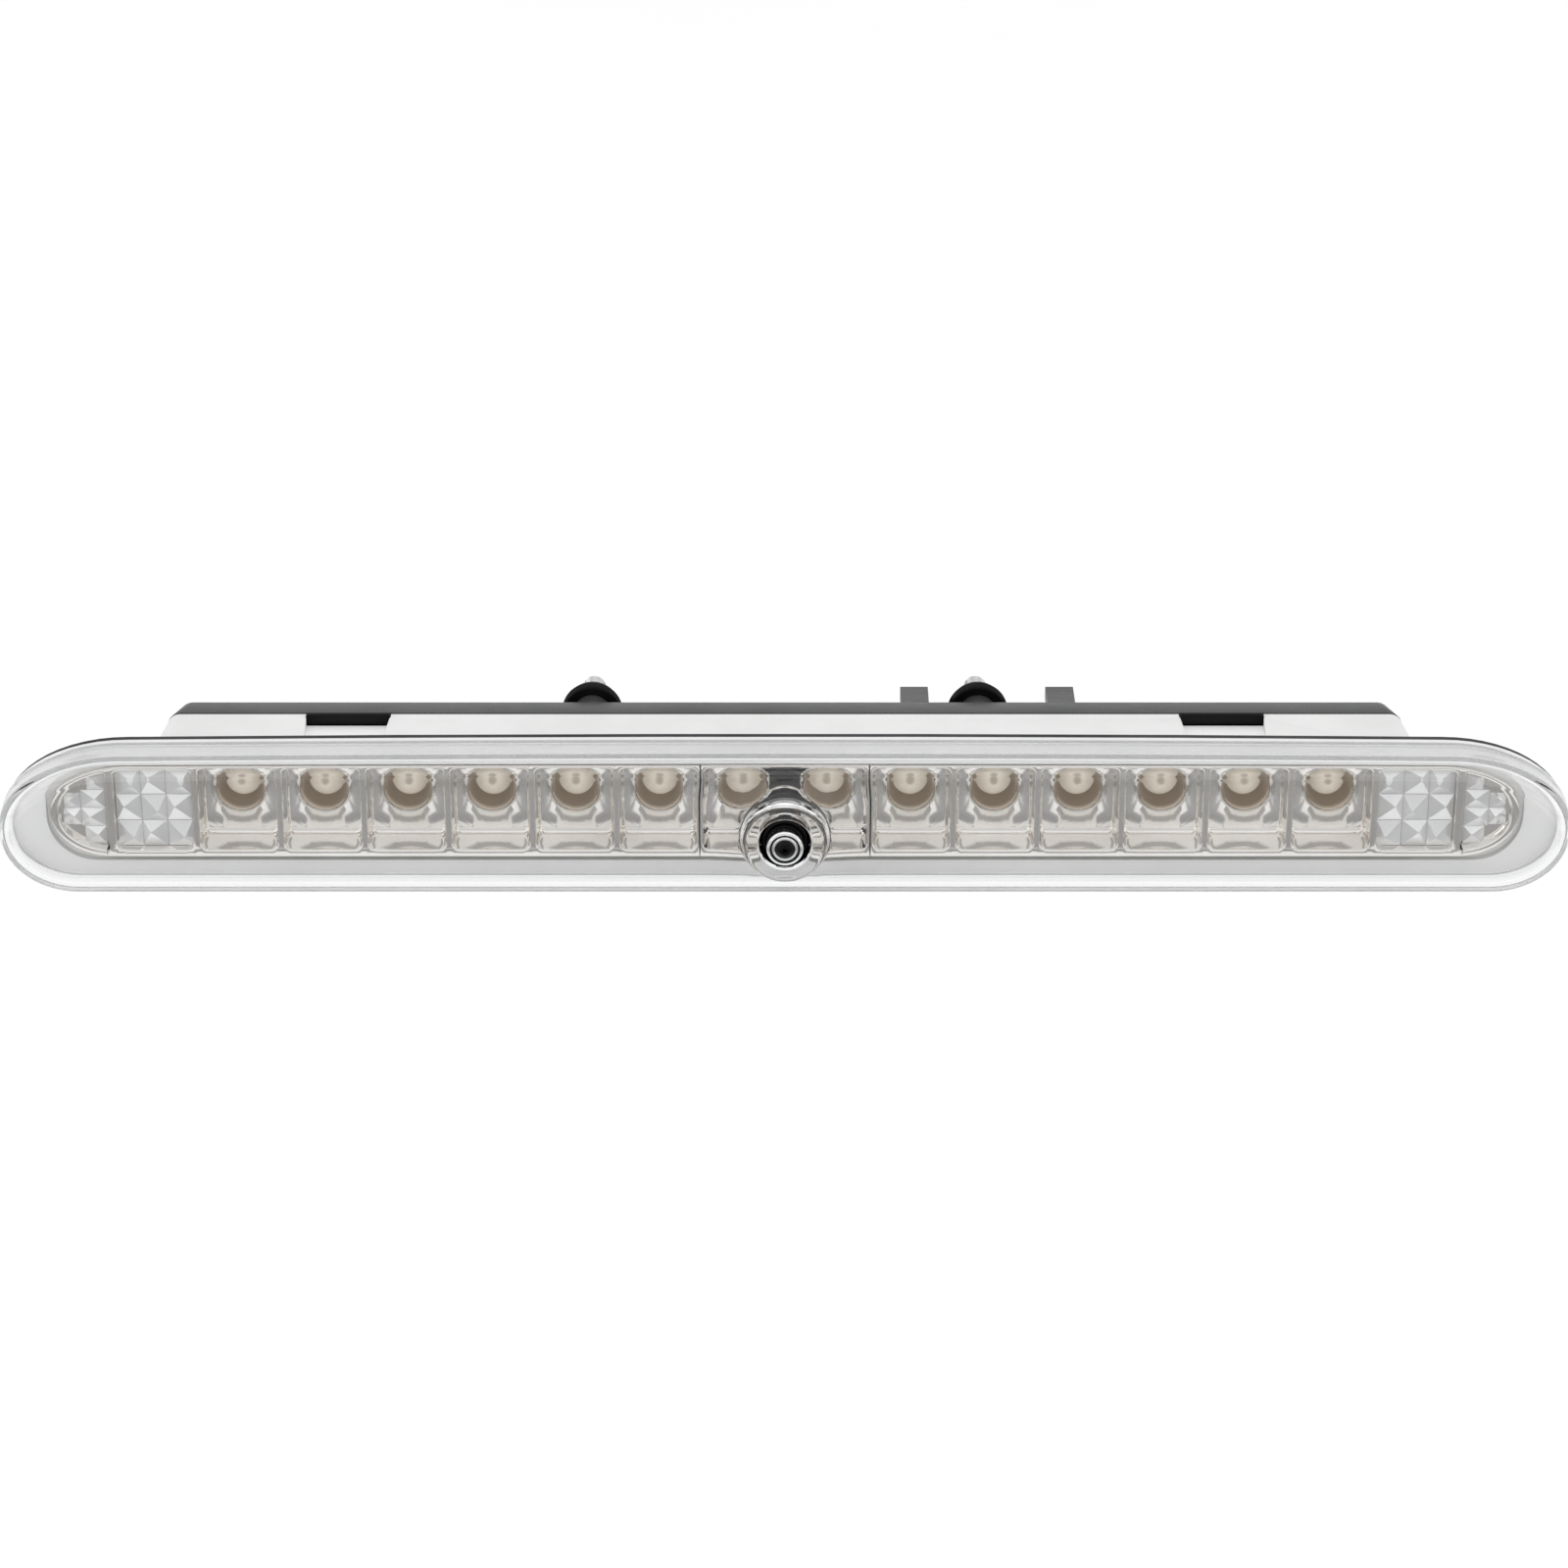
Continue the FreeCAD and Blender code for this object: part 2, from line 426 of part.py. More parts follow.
for c in cut:
    cover = cover.cut(c)
put("back_cover", cover.removeSplitter())


def cover_screw(x, z):
    head = revolve_y([(0, COVER_END), (2.8, COVER_END), (2.7, COVER_END + 1.0), (2.0, COVER_END + 1.65), (0, COVER_END + 1.8)], x, z)
    shank = revolve_y([(0, 13.4), (0.6, 13.4), (1.4, 14.6), (1.4, COVER_END + 0.1), (0, COVER_END + 0.1)], x, z)
    cross = box(x - 1.6, x + 1.6, COVER_END + 0.9, COVER_END + 3, z - 0.3, z + 0.3).fuse(box(x - 0.3, x + 0.3, COVER_END + 0.9, COVER_END + 3, z - 1.6, z + 1.6))
    return head.fuse(shank).cut(cross)


put("cover_screws", group([cover_screw(x, z) for x, z in COVER_SCREWS]))

# ---------------------------------------------------------------- studs and their seals
studs = []
for s in (-1, 1):
    studs.append(revolve_y([(0, 22.1), (4.2, 22.1), (4.2, 24.1), (2.9, 24.1), (2.9, STUD_SEAL_END), (STUD_R, STUD_SEAL_END), (STUD_R, STUD_END - 1.0), (STUD_R - 0.9, STUD_END), (0, STUD_END)], s * STUD_X, STUD_Z))
put("mounting_studs", group(studs))
for s, side in ((-1, "left"), (1, "right")):
    y = TOWER_END
    seal = revolve_y([(2.9, y), (5.6, y), (STUD_SEAL_R, y + 0.7), (STUD_SEAL_R, y + 1.7), (5.2, y + 2.1), (5.2, y + 2.6), (6.0, y + 3.0), (6.0, y + 3.7), (5.0, STUD_SEAL_END), (2.9, STUD_SEAL_END)], s * STUD_X, STUD_Z)
    put(f"stud_seal_{side}", seal)

# ---------------------------------------------------------------- hooks in the case's pockets
for s, side in ((-1, "left"), (1, "right")):
    x0, x1 = s * HOOK_X - HOOK_W / 2, s * HOOK_X + HOOK_W / 2
    n = HOOK_NOSE
    prof = [(n, 9.9), (n, 12.8), (n + 0.5, 13.1), (n + 1.9, 12.3), (n + 1.9, 10.85), (n + 7.4, 10.3), (n + 8.3, 9.4), (n + 7.4, 8.25), (n + 6.2, 8.4), (n + 2.2, 9.5)]
    face = Part.Face(Part.makePolygon([V(x0, y, z) for y, z in prof + prof[:1]]))
    blade = face.extrude(V(x1 - x0, 0, 0))
    barrel = Part.makeCylinder(1.0, x1 - x0, V(x0, HOOK_PIVOT_Y, HOOK_PIVOT_Z), V(1, 0, 0))
    pin = Part.makeCylinder(0.7, x1 - x0 + 2.2, V(x0 - 1.1, HOOK_PIVOT_Y, HOOK_PIVOT_Z), V(1, 0, 0))
    put(f"snap_hook_{side}", joined([blade, barrel, pin]))

# ---------------------------------------------------------------- electrical socket and vent
base = slab(rounded(COVER_END, 9.4, 6.4, 1.8, PLUG_X, PLUG_Z), 1.2)
plug_in = box(PLUG_X - 7.5, PLUG_X + 7.5, 25.0, COVER_END, PLUG_Z - 4.5, PLUG_Z + 4.5)
shroud = slab(rounded(COVER_END, 8.1, 5.1, 1.4, PLUG_X, PLUG_Z), 10.7)
ramp_face = Part.Face(Part.makePolygon([V(PLUG_X - 2, 36.8, PLUG_Z + 5.0), V(PLUG_X - 2, 33.6, PLUG_Z + 6.2), V(PLUG_X - 2, 33.6, PLUG_Z + 5.0), V(PLUG_X - 2, 36.8, PLUG_Z + 5.0)]))
ramp = ramp_face.extrude(V(4, 0, 0))
socket = joined([base, plug_in, shroud, ramp])
socket = socket.cut(slab(rounded(29.6, 6.6, 3.6, 0.8, PLUG_X, PLUG_Z), 12))
for x in PINS:
    socket = socket.cut(box(x - 1.15, x + 1.15, 22, 32, PLUG_Z - 0.4, PLUG_Z + 0.4))
put("connector_shell", socket)
pins = []
for x in PINS:
    blade = box(x - 1.15, x + 1.15, 12.0, 33.4, PLUG_Z - 0.4, PLUG_Z + 0.4)
    pins.append(blade.makeChamfer(0.3, [e for e in blade.Edges if all(v.Y > 33 for v in e.Vertexes)]))
put("terminal_pins", group(pins))
vent = revolve_y([(0, COVER_END), (5.0, COVER_END), (5.0, COVER_END + 0.9), (4.2, COVER_END + 1.9), (1.0, COVER_END + 2.1), (0, COVER_END + 2.1)], VENT_X, VENT_Z)
stem = tube(1.6, 0.8, VENT_X, VENT_Z, 25.2, COVER_END + 0.2)
vent = vent.fuse(stem).cut(cyl(0.8, VENT_X, VENT_Z, 20, COVER_END + 1.2))
for a in range(4):
    c = box(VENT_X - 6, VENT_X + 6, COVER_END, COVER_END + 0.5, VENT_Z - 0.4, VENT_Z + 0.4)
    c.rotate(V(VENT_X, 0, VENT_Z), V(0, 1, 0), 45 * a)
    vent = vent.cut(c.cut(cyl(1.6, VENT_X, VENT_Z, 20, 32)))
put("vent_cap", vent.removeSplitter())

# ---------------------------------------------------------------- washer jet
head = revolve_y([
    (TUBE_R, HEAD_END), (4.4, HEAD_END), (HEAD_R, -12.8), (HEAD_R, -13.1), (4.5, -13.1), (4.5, -14.1), (HEAD_R, -14.1),
    (HEAD_R, HEAD_FRONT + 0.8), (5.05, HEAD_FRONT + 0.2), (4.5, HEAD_FRONT), (RING_R + 0.15, HEAD_FRONT + 0.1), (RING_R + 0.05, HEAD_FRONT + 0.25), (RING_R + 0.05, -15.4), (TUBE_R, -15.4),
], 0, JET_Z)
put("nozzle_head", head)
put("nozzle_o_ring", Part.makeTorus(5.05, 0.5, V(0, -13.6, JET_Z), V(0, 1, 0)))
pipe = revolve_y([(TUBE_BORE, -14.4), (TUBE_R, -14.4), (TUBE_R, 24.4), (5.0, 24.4), (5.0, 25.9), (TUBE_R, 25.9), (TUBE_R, TUBE_END), (TUBE_BORE, TUBE_END)], 0, JET_Z)
put("nozzle_tube", pipe)
ring = revolve_y([(2.0, -14.7), (TUBE_R - 0.05, -14.7), (TUBE_R - 0.05, -15.9), (RING_R, -15.9), (RING_R, -19.8), (3.8, -20.2), (3.5, RING_FRONT), (3.3, -20.3), (3.25, -19.7), (2.85, -19.7), (2.8, -20.2), (2.6, -20.35), (2.0, -20.35)], 0, JET_Z)
ring = ring.cut(Part.makeSphere(BALL_R + 0.05, V(0, BALL_Y, JET_Z)))
put("aim_ring", ring)
ball = Part.makeSphere(BALL_R, V(0, BALL_Y, JET_Z)).cut(cyl(0.9, 0, JET_Z, -24, -10))
put("jet_ball", ball)
insert = tube(0.9, 0.45, 0, JET_Z, -21.1, -16.7)
put("jet_insert", insert)
put("nozzle_washer", tube(5.4, TUBE_R, 0, JET_Z, COVER_END, COVER_END + 0.8))
hexa = Part.makePolygon([V(6.6 * math.cos(math.radians(60 * i)), COVER_END + 0.8, JET_Z + 6.6 * math.sin(math.radians(60 * i))) for i in range(7)])
nut = Part.Face(hexa).extrude(V(0, 3.4, 0)).common(revolve_y([(0, COVER_END + 0.7), (6.0, COVER_END + 0.7), (6.7, COVER_END + 1.2), (6.7, COVER_END + 3.7), (6.0, COVER_END + 4.3), (0, COVER_END + 4.3)], 0, JET_Z))
put("nozzle_nut", nut.cut(cyl(TUBE_R, 0, JET_Z, 20, 40)))
spigot = revolve_y([
    (TUBE_R, 32.5), (4.5, 32.5), (4.8, 32.9), (4.8, 41.6), (4.4, 42.1), (2.2, 42.1), (2.2, 45.2), (2.8, 45.5), (2.2, 47.4), (2.7, 47.7), (1.9, TAIL_END),
    (1.2, TAIL_END), (1.2, 41.1), (2.6, 41.1), (2.6, TUBE_END), (TUBE_R, TUBE_END),
], 0, JET_Z)
put("hose_spigot", spigot)
put("valve_seat", revolve_y([(1.3, 40.1), (2.6, 40.1), (2.6, 41.1), (1.3, 41.1)], 0, JET_Z))
put("valve_poppet", revolve_y([(0, 37.0), (0.7, 37.0), (0.7, 38.7), (2.0, 38.7), (2.0, 39.7), (1.6, 40.1), (0, 40.1)], 0, JET_Z))
turns, coil_r, wire_r, coil_y0, coil_y1 = 4.0, 1.75, 0.17, 34.29, 38.49
path = []
for i in range(int(turns * 14) + 1):
    t = 2 * math.pi * i / 14
    path.append(V(coil_r * math.cos(t), coil_y0 + (coil_y1 - coil_y0) * i / (turns * 14), JET_Z + coil_r * math.sin(t)))
start = Part.Wire([Part.Circle(path[0], path[1] - path[0], wire_r).toShape()])
coil = Part.makePolygon(path).makePipeShell([start], True, False, 1)
put("valve_spring", coil)

total = Part.makeCompound(list(NODES.values())).BoundBox
print(f"{len(NODES)} nodes, {total.XLength:.1f} x {total.YLength:.1f} x {total.ZLength:.1f} mm")
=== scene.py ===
import bmesh
import bpy
import json
import math
from mathutils import Matrix, Vector

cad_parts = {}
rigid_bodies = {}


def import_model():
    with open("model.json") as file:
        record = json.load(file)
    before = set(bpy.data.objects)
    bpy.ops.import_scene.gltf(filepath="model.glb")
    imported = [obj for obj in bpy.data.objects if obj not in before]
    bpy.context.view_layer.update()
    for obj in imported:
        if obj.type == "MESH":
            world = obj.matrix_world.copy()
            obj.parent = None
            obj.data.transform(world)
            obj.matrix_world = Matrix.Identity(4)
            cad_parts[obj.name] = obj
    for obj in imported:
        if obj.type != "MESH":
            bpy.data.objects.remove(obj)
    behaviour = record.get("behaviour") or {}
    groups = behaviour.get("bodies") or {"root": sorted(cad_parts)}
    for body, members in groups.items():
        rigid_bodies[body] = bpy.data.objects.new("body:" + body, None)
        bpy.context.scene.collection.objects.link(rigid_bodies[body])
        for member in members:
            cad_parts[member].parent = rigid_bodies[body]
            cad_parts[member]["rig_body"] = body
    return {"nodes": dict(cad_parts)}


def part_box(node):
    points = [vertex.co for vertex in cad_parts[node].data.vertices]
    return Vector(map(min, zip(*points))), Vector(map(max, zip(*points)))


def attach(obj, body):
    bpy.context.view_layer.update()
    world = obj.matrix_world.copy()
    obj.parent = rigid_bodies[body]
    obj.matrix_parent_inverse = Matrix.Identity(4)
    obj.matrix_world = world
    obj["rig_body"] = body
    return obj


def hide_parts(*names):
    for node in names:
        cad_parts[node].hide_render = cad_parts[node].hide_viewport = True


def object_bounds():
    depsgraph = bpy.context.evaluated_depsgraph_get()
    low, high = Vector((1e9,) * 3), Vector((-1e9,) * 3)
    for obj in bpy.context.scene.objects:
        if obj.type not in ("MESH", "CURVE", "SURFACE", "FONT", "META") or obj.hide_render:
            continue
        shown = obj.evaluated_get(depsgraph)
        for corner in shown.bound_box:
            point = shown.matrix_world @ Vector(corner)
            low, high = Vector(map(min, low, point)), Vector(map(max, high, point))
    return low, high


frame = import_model()
cad_low, cad_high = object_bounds()

# Lengths below are millimetres, counted as the part is drawn: X from the lamp's middle, Y from the
# gasket's seating face, Z from the lens's mid-height. D() turns them into the row's metres.
MM = 0.001
Y0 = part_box("flange_gasket")[1].y
Z0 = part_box("outer_lens")[0].z + 16.7 * MM


def D(x, y, z):
    return Vector((x * MM, Y0 + y * MM, Z0 + z * MM))


def span(node):
    """A node's box in drawing millimetres."""
    lo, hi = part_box(node)
    return [(lo.x / MM, hi.x / MM), ((lo.y - Y0) / MM, (hi.y - Y0) / MM), ((lo.z - Z0) / MM, (hi.z - Z0) / MM)]


JET_Z = (span("jet_ball")[2][0] + span("jet_ball")[2][1]) / 2
STUD_Z = (span("mounting_studs")[2][0] + span("mounting_studs")[2][1]) / 2
STUD_X = (span("stud_seal_right")[0][0] + span("stud_seal_right")[0][1]) / 2
LED_Z = (span("leds")[2][0] + span("leds")[2][1]) / 2
CELL_Z = LED_Z - 1.8
STUD_END = span("mounting_studs")[1][1]
SEAL_Y = span("stud_seal_right")[1][0]
PITCH = 18.2
RIM_Y = span("reflector_centre")[1][0]
FLOOR_Y = RIM_Y + 7.3
LED_X = [(-6.5 + i) * PITCH for i in range(14)]


# ------------------------------------------------------------------ materials
def new_mat(name):
    m = bpy.data.materials.new(name)
    m.use_nodes = True
    nt = m.node_tree
    p = nt.nodes["Principled BSDF"]
    return m, nt, p


def coords(nt, scale=(1, 1, 1)):
    tc = nt.nodes.new("ShaderNodeTexCoord")
    mp = nt.nodes.new("ShaderNodeMapping")
    mp.inputs["Scale"].default_value = scale
    nt.links.new(tc.outputs["Object"], mp.inputs["Vector"])
    return mp.outputs["Vector"]


def noise(nt, vec, scale, detail=3.0, rough=0.55, distortion=0.0):
    n = nt.nodes.new("ShaderNodeTexNoise")
    n.inputs["Scale"].default_value = scale
    n.inputs["Detail"].default_value = detail
    n.inputs["Roughness"].default_value = rough
    n.inputs["Distortion"].default_value = distortion
    nt.links.new(vec, n.inputs["Vector"])
    return n.outputs["Fac"]


def remap(nt, fac, lo, hi, a=0.3, b=0.7):
    r = nt.nodes.new("ShaderNodeMapRange")
    r.inputs["From Min"].default_value = a
    r.inputs["From Max"].default_value = b
    r.inputs["To Min"].default_value = lo
    r.inputs["To Max"].default_value = hi
    nt.links.new(fac, r.inputs["Value"])
    return r.outputs["Result"]


def ramp(nt, fac, stops):
    r = nt.nodes.new("ShaderNodeValToRGB")
    els = r.color_ramp.elements
    while len(els) < len(stops):
        els.new(0.5)
    for e, (pos, col) in zip(els, stops):
        e.position = pos
        e.color = (*col, 1)
    nt.links.new(fac, r.inputs["Fac"])
    return r.outputs["Color"]


def bump(nt, p, height, strength, distance):
    b = nt.nodes.new("ShaderNodeBump")
    b.inputs["Strength"].default_value = strength
    b.inputs["Distance"].default_value = distance
    nt.links.new(height, b.inputs["Height"])
    nt.links.new(b.outputs["Normal"], p.inputs["Normal"])
    return b


def mixf(nt, a, b, kind="ADD", w=None):
    m = nt.nodes.new("ShaderNodeMath")
    m.operation = kind
    for i, v in enumerate((a, b)):
        if isinstance(v, (int, float)):
            m.inputs[i].default_value = v
        else:
            nt.links.new(v, m.inputs[i])
    return m.outputs[0]


def moulded(name, dark, light, rough, grain=2600, grain_depth=0.00002, strength=0.25, mottling=60, coat=0.0, spec=0.5):
    """Moulded plastic: faint colour drift, a fine eroded grain, and gloss that changes with the grain."""
    m, nt, p = new_mat(name)
    v = coords(nt)
    drift = noise(nt, v, mottling, 4, 0.6)
    nt.links.new(ramp(nt, drift, [(0.35, dark), (0.65, light)]), p.inputs["Base Color"])
    fine = noise(nt, v, grain, 2.5, 0.6)
    smear = noise(nt, coords(nt, (1, 3.5, 1)), 210, 5, 0.65)
    nt.links.new(mixf(nt, remap(nt, fine, rough - 0.05, rough + 0.05), remap(nt, smear, -0.05, 0.05)), p.inputs["Roughness"])
    bump(nt, p, fine, strength, grain_depth)
    p.inputs["Specular IOR Level"].default_value = spec
    if coat:
        p.inputs["Coat Weight"].default_value = coat
        p.inputs["Coat Roughness"].default_value = 0.12
    return m


def metal(name, dark, light, rough, streak=(1, 60, 60), scale=120, spread=0.06, strength=0.1, depth=0.00001):
    m, nt, p = new_mat(name)
    p.inputs["Metallic"].default_value = 1.0
    v = coords(nt, streak)
    s = noise(nt, v, scale, 5, 0.6)
    c = noise(nt, coords(nt), 90, 3, 0.6)
    nt.links.new(ramp(nt, c, [(0.3, dark), (0.7, light)]), p.inputs["Base Color"])
    nt.links.new(remap(nt, s, rough - spread, rough + spread), p.inputs["Roughness"])
    bump(nt, p, s, strength, depth)
    return m


def clear(name, tint, ior, rough, lamps=0.9, waviness=0.05, wave_scale=70, depth=0.00004):
    """Clear moulded plastic. Light from lamps passes straight through it."""
    m, nt, p = new_mat(name)
    p.inputs["Transmission Weight"].default_value = 1.0
    p.inputs["Specular IOR Level"].default_value = 0.22
    p.inputs["IOR"].default_value = ior
    v = coords(nt)
    flow = noise(nt, coords(nt, (1, 1, 2.5)), wave_scale, 3, 0.5, 0.4)
    nt.links.new(ramp(nt, flow, [(0.3, tint), (0.7, tuple(min(1, t * 1.015) for t in tint))]), p.inputs["Base Color"])
    haze = noise(nt, v, 420, 4, 0.6)
    nt.links.new(remap(nt, haze, rough * 0.4, rough * 1.6, 0.35, 0.75), p.inputs["Roughness"])
    bump(nt, p, flow, waviness, depth)
    out = nt.nodes["Material Output"]
    t = nt.nodes.new("ShaderNodeBsdfTransparent")
    t.inputs["Color"].default_value = (lamps, lamps, lamps, 1)
    lp = nt.nodes.new("ShaderNodeLightPath")
    mx = nt.nodes.new("ShaderNodeMixShader")
    nt.links.new(lp.outputs["Is Shadow Ray"], mx.inputs["Fac"])
    nt.links.new(p.outputs["BSDF"], mx.inputs[1])
    nt.links.new(t.outputs["BSDF"], mx.inputs[2])
    nt.links.new(mx.outputs["Shader"], out.inputs["Surface"])
    return m


M = {}
M["lens"] = clear("clear_polycarbonate", (0.984, 0.99, 0.992), 1.52, 0.012, lamps=0.96)
M["bead"] = moulded("lens_bond_bead", (0.8, 0.81, 0.81), (0.88, 0.885, 0.885), 0.35, grain=900)
M["white"] = moulded("white_moulded_case", (0.77, 0.77, 0.765), (0.82, 0.82, 0.815), 0.42, grain=3200, grain_depth=0.000012, strength=0.2)
# painted light: a lighter copy of the white case plastic with a faint glow, for case faces that lie in shade
M["tray"] = moulded("white_lamp_tray", (0.92, 0.92, 0.915), (0.96, 0.96, 0.955), 0.5, grain=3200, grain_depth=0.000012, strength=0.2)
tray = M["tray"].node_tree.nodes["Principled BSDF"]
tray.inputs["Emission Color"].default_value = (1, 1, 1, 1)              # painted light: the case's white made lighter and given a faint glow
tray.inputs["Emission Strength"].default_value = 0.07
M["grey"] = moulded("dark_grey_moulded_cover", (0.035, 0.036, 0.037), (0.055, 0.056, 0.058), 0.4, grain=2200, grain_depth=0.00003, strength=0.35)
M["black"] = moulded("black_nylon", (0.003, 0.003, 0.0033), (0.006, 0.006, 0.0065), 0.34, grain=3800, grain_depth=0.00001, strength=0.2, spec=0.14)
M["rubber"] = moulded("black_rubber", (0.002, 0.002, 0.0022), (0.005, 0.005, 0.0055), 0.27, grain=1500, grain_depth=0.00002, strength=0.3, spec=0.16)
M["gloss_black"] = moulded("polished_black_acetal", (0.0015, 0.0015, 0.0018), (0.003, 0.003, 0.0033), 0.14, grain=3000, grain_depth=0.000006, strength=0.12, spec=0.14)
M["foam"] = moulded("closed_cell_foam", (0.02, 0.02, 0.022), (0.05, 0.05, 0.053), 0.85, grain=1900, grain_depth=0.0001, strength=0.9)
M["chip"] = moulded("chip_ceramic", (0.012, 0.012, 0.012), (0.03, 0.03, 0.03), 0.55)
M["steel"] = metal("zinc_plated_steel", (0.56, 0.57, 0.58), (0.72, 0.73, 0.74), 0.28)
M["tin"] = metal("tinned_metal", (0.62, 0.61, 0.58), (0.78, 0.77, 0.73), 0.26)
M["ring"] = metal("satin_aluminium", (0.74, 0.75, 0.76), (0.86, 0.86, 0.87), 0.2, streak=(60, 1, 60))


def chrome_mat():
    """Vacuum-metallised plastic: near-mirror, with faint flow waves, sink marks and dust haze, and painted shade that
    darkens the deep bowls round the LEDs.
    """
    m, nt, p = new_mat("metallised_reflector")
    p.inputs["Metallic"].default_value = 1.0
    v = coords(nt)
    c = noise(nt, v, 45, 3, 0.6)
    tone = ramp(nt, c, [(0.3, (0.8, 0.775, 0.745)), (0.7, (0.88, 0.86, 0.832))])
    sep = nt.nodes.new("ShaderNodeSeparateXYZ")
    nt.links.new(v, sep.inputs[0])
    # painted shade: the chrome turns dark brown deep in the bowls round the LEDs
    deep = remap(nt, sep.outputs["Y"], 0.0, 1.0, D(0, FLOOR_Y + 0.2, 0).y, D(0, FLOOR_Y + 1.6, 0).y)
    mx = nt.nodes.new("ShaderNodeMix")
    mx.data_type = "RGBA"
    nt.links.new(deep, mx.inputs["Factor"])
    nt.links.new(tone, mx.inputs["A"])
    mx.inputs["B"].default_value = (0.42, 0.375, 0.33, 1)
    nt.links.new(mx.outputs["Result"], p.inputs["Base Color"])
    haze = noise(nt, v, 260, 5, 0.65)
    nt.links.new(remap(nt, haze, 0.03, 0.11, 0.35, 0.75), p.inputs["Roughness"])
    wave = noise(nt, v, 150, 2, 0.5, 0.3)
    bump(nt, p, wave, 0.12, 0.0001)
    return m


def crystal_mat():
    """The same coating on crystal-cut facets, painted lighter and part diffuse: a lit copy of the reflector finish."""
    m, nt, p = new_mat("metallised_facets_lit_copy")
    p.inputs["Metallic"].default_value = 0.6
    v = coords(nt)
    c = noise(nt, v, 60, 3, 0.6)
    nt.links.new(ramp(nt, c, [(0.3, (0.9, 0.9, 0.9)), (0.7, (0.96, 0.96, 0.96))]), p.inputs["Base Color"])
    haze = noise(nt, v, 300, 4, 0.6)
    nt.links.new(remap(nt, haze, 0.14, 0.26, 0.35, 0.75), p.inputs["Roughness"])
    bump(nt, p, noise(nt, v, 190, 2, 0.5), 0.15, 0.0001)
    return m


def epoxy_mat():
    """LED epoxy: warm, a little cloudy, with a painted dark spot where the leadframe shows through the dome, and a
    painted glow.
    """
    m, nt, p = new_mat("led_epoxy")
    v = coords(nt)
    c = noise(nt, v, 700, 3, 0.6)
    tone = ramp(nt, c, [(0.3, (0.95, 0.85, 0.73)), (0.7, (0.99, 0.93, 0.84))])
    sep = nt.nodes.new("ShaderNodeSeparateXYZ")
    nt.links.new(v, sep.inputs[0])

    def op(kind, a, b=0.0):
        m = nt.nodes.new("ShaderNodeMath")
        m.operation = kind
        for i, q in enumerate((a, b)):
            if isinstance(q, (int, float)):
                m.inputs[i].default_value = q
            else:
                nt.links.new(q, m.inputs[i])
        return m.outputs[0]
    # painted dark spot a little above each LED's axis: the leadframe as seen through the dome, painted on its surface
    step = PITCH * MM
    dx = op("MULTIPLY", op("SUBTRACT", op("FRACT", op("ADD", op("DIVIDE", sep.outputs["X"], step), 20.0)), 0.5), step)
    dz = op("SUBTRACT", sep.outputs["Z"], D(0, 0, LED_Z + 0.6).z)
    rr = op("SQRT", op("ADD", op("MULTIPLY", dx, dx), op("MULTIPLY", dz, dz)))
    painted_leadframe_spot = remap(nt, rr, 1.0, 0.0, 0.5 * MM, 1.15 * MM)
    mx = nt.nodes.new("ShaderNodeMix")
    mx.data_type = "RGBA"
    nt.links.new(painted_leadframe_spot, mx.inputs["Factor"])
    nt.links.new(tone, mx.inputs["A"])
    mx.inputs["B"].default_value = (0.3, 0.24, 0.18, 1)
    nt.links.new(mx.outputs["Result"], p.inputs["Base Color"])
    p.inputs["Transmission Weight"].default_value = 0.1
    p.inputs["IOR"].default_value = 1.53
    nt.links.new(remap(nt, noise(nt, v, 900, 3, 0.5), 0.05, 0.16), p.inputs["Roughness"])
    bump(nt, p, noise(nt, v, 500, 2, 0.5), 0.06, 0.00005)
    p.inputs["Emission Color"].default_value = (1.0, 0.88, 0.74, 1)      # painted light: the unlit LEDs are made to glow a little
    p.inputs["Emission Strength"].default_value = 0.24
    return m


def board_mat():
    m, nt, p = new_mat("solder_mask_board")
    v = coords(nt)
    weave = nt.nodes.new("ShaderNodeTexWave")
    weave.wave_type = "BANDS"
    weave.inputs["Scale"].default_value = 700
    weave.inputs["Distortion"].default_value = 0.4
    nt.links.new(v, weave.inputs["Vector"])
    cloud = noise(nt, v, 130, 4, 0.6)
    nt.links.new(ramp(nt, mixf(nt, mixf(nt, weave.outputs["Fac"], 0.25, "MULTIPLY"), cloud), [(0.35, (0.012, 0.07, 0.03)), (0.8, (0.03, 0.14, 0.06))]), p.inputs["Base Color"])
    nt.links.new(remap(nt, cloud, 0.22, 0.38), p.inputs["Roughness"])
    bump(nt, p, weave.outputs["Fac"], 0.2, 0.00003)
    return m


M["chrome"] = chrome_mat()
M["crystal"] = crystal_mat()
M["epoxy"] = epoxy_mat()
# painted dark for the collar's bore: a flat black that stands in for the dark jet head seen through the clear collar
M["mask"] = moulded("black_painted_bore_shade", (0.002, 0.002, 0.0022), (0.005, 0.005, 0.0055), 0.5, grain=1600, grain_depth=0.00001, strength=0.2, spec=0.1)
M["board"] = board_mat()


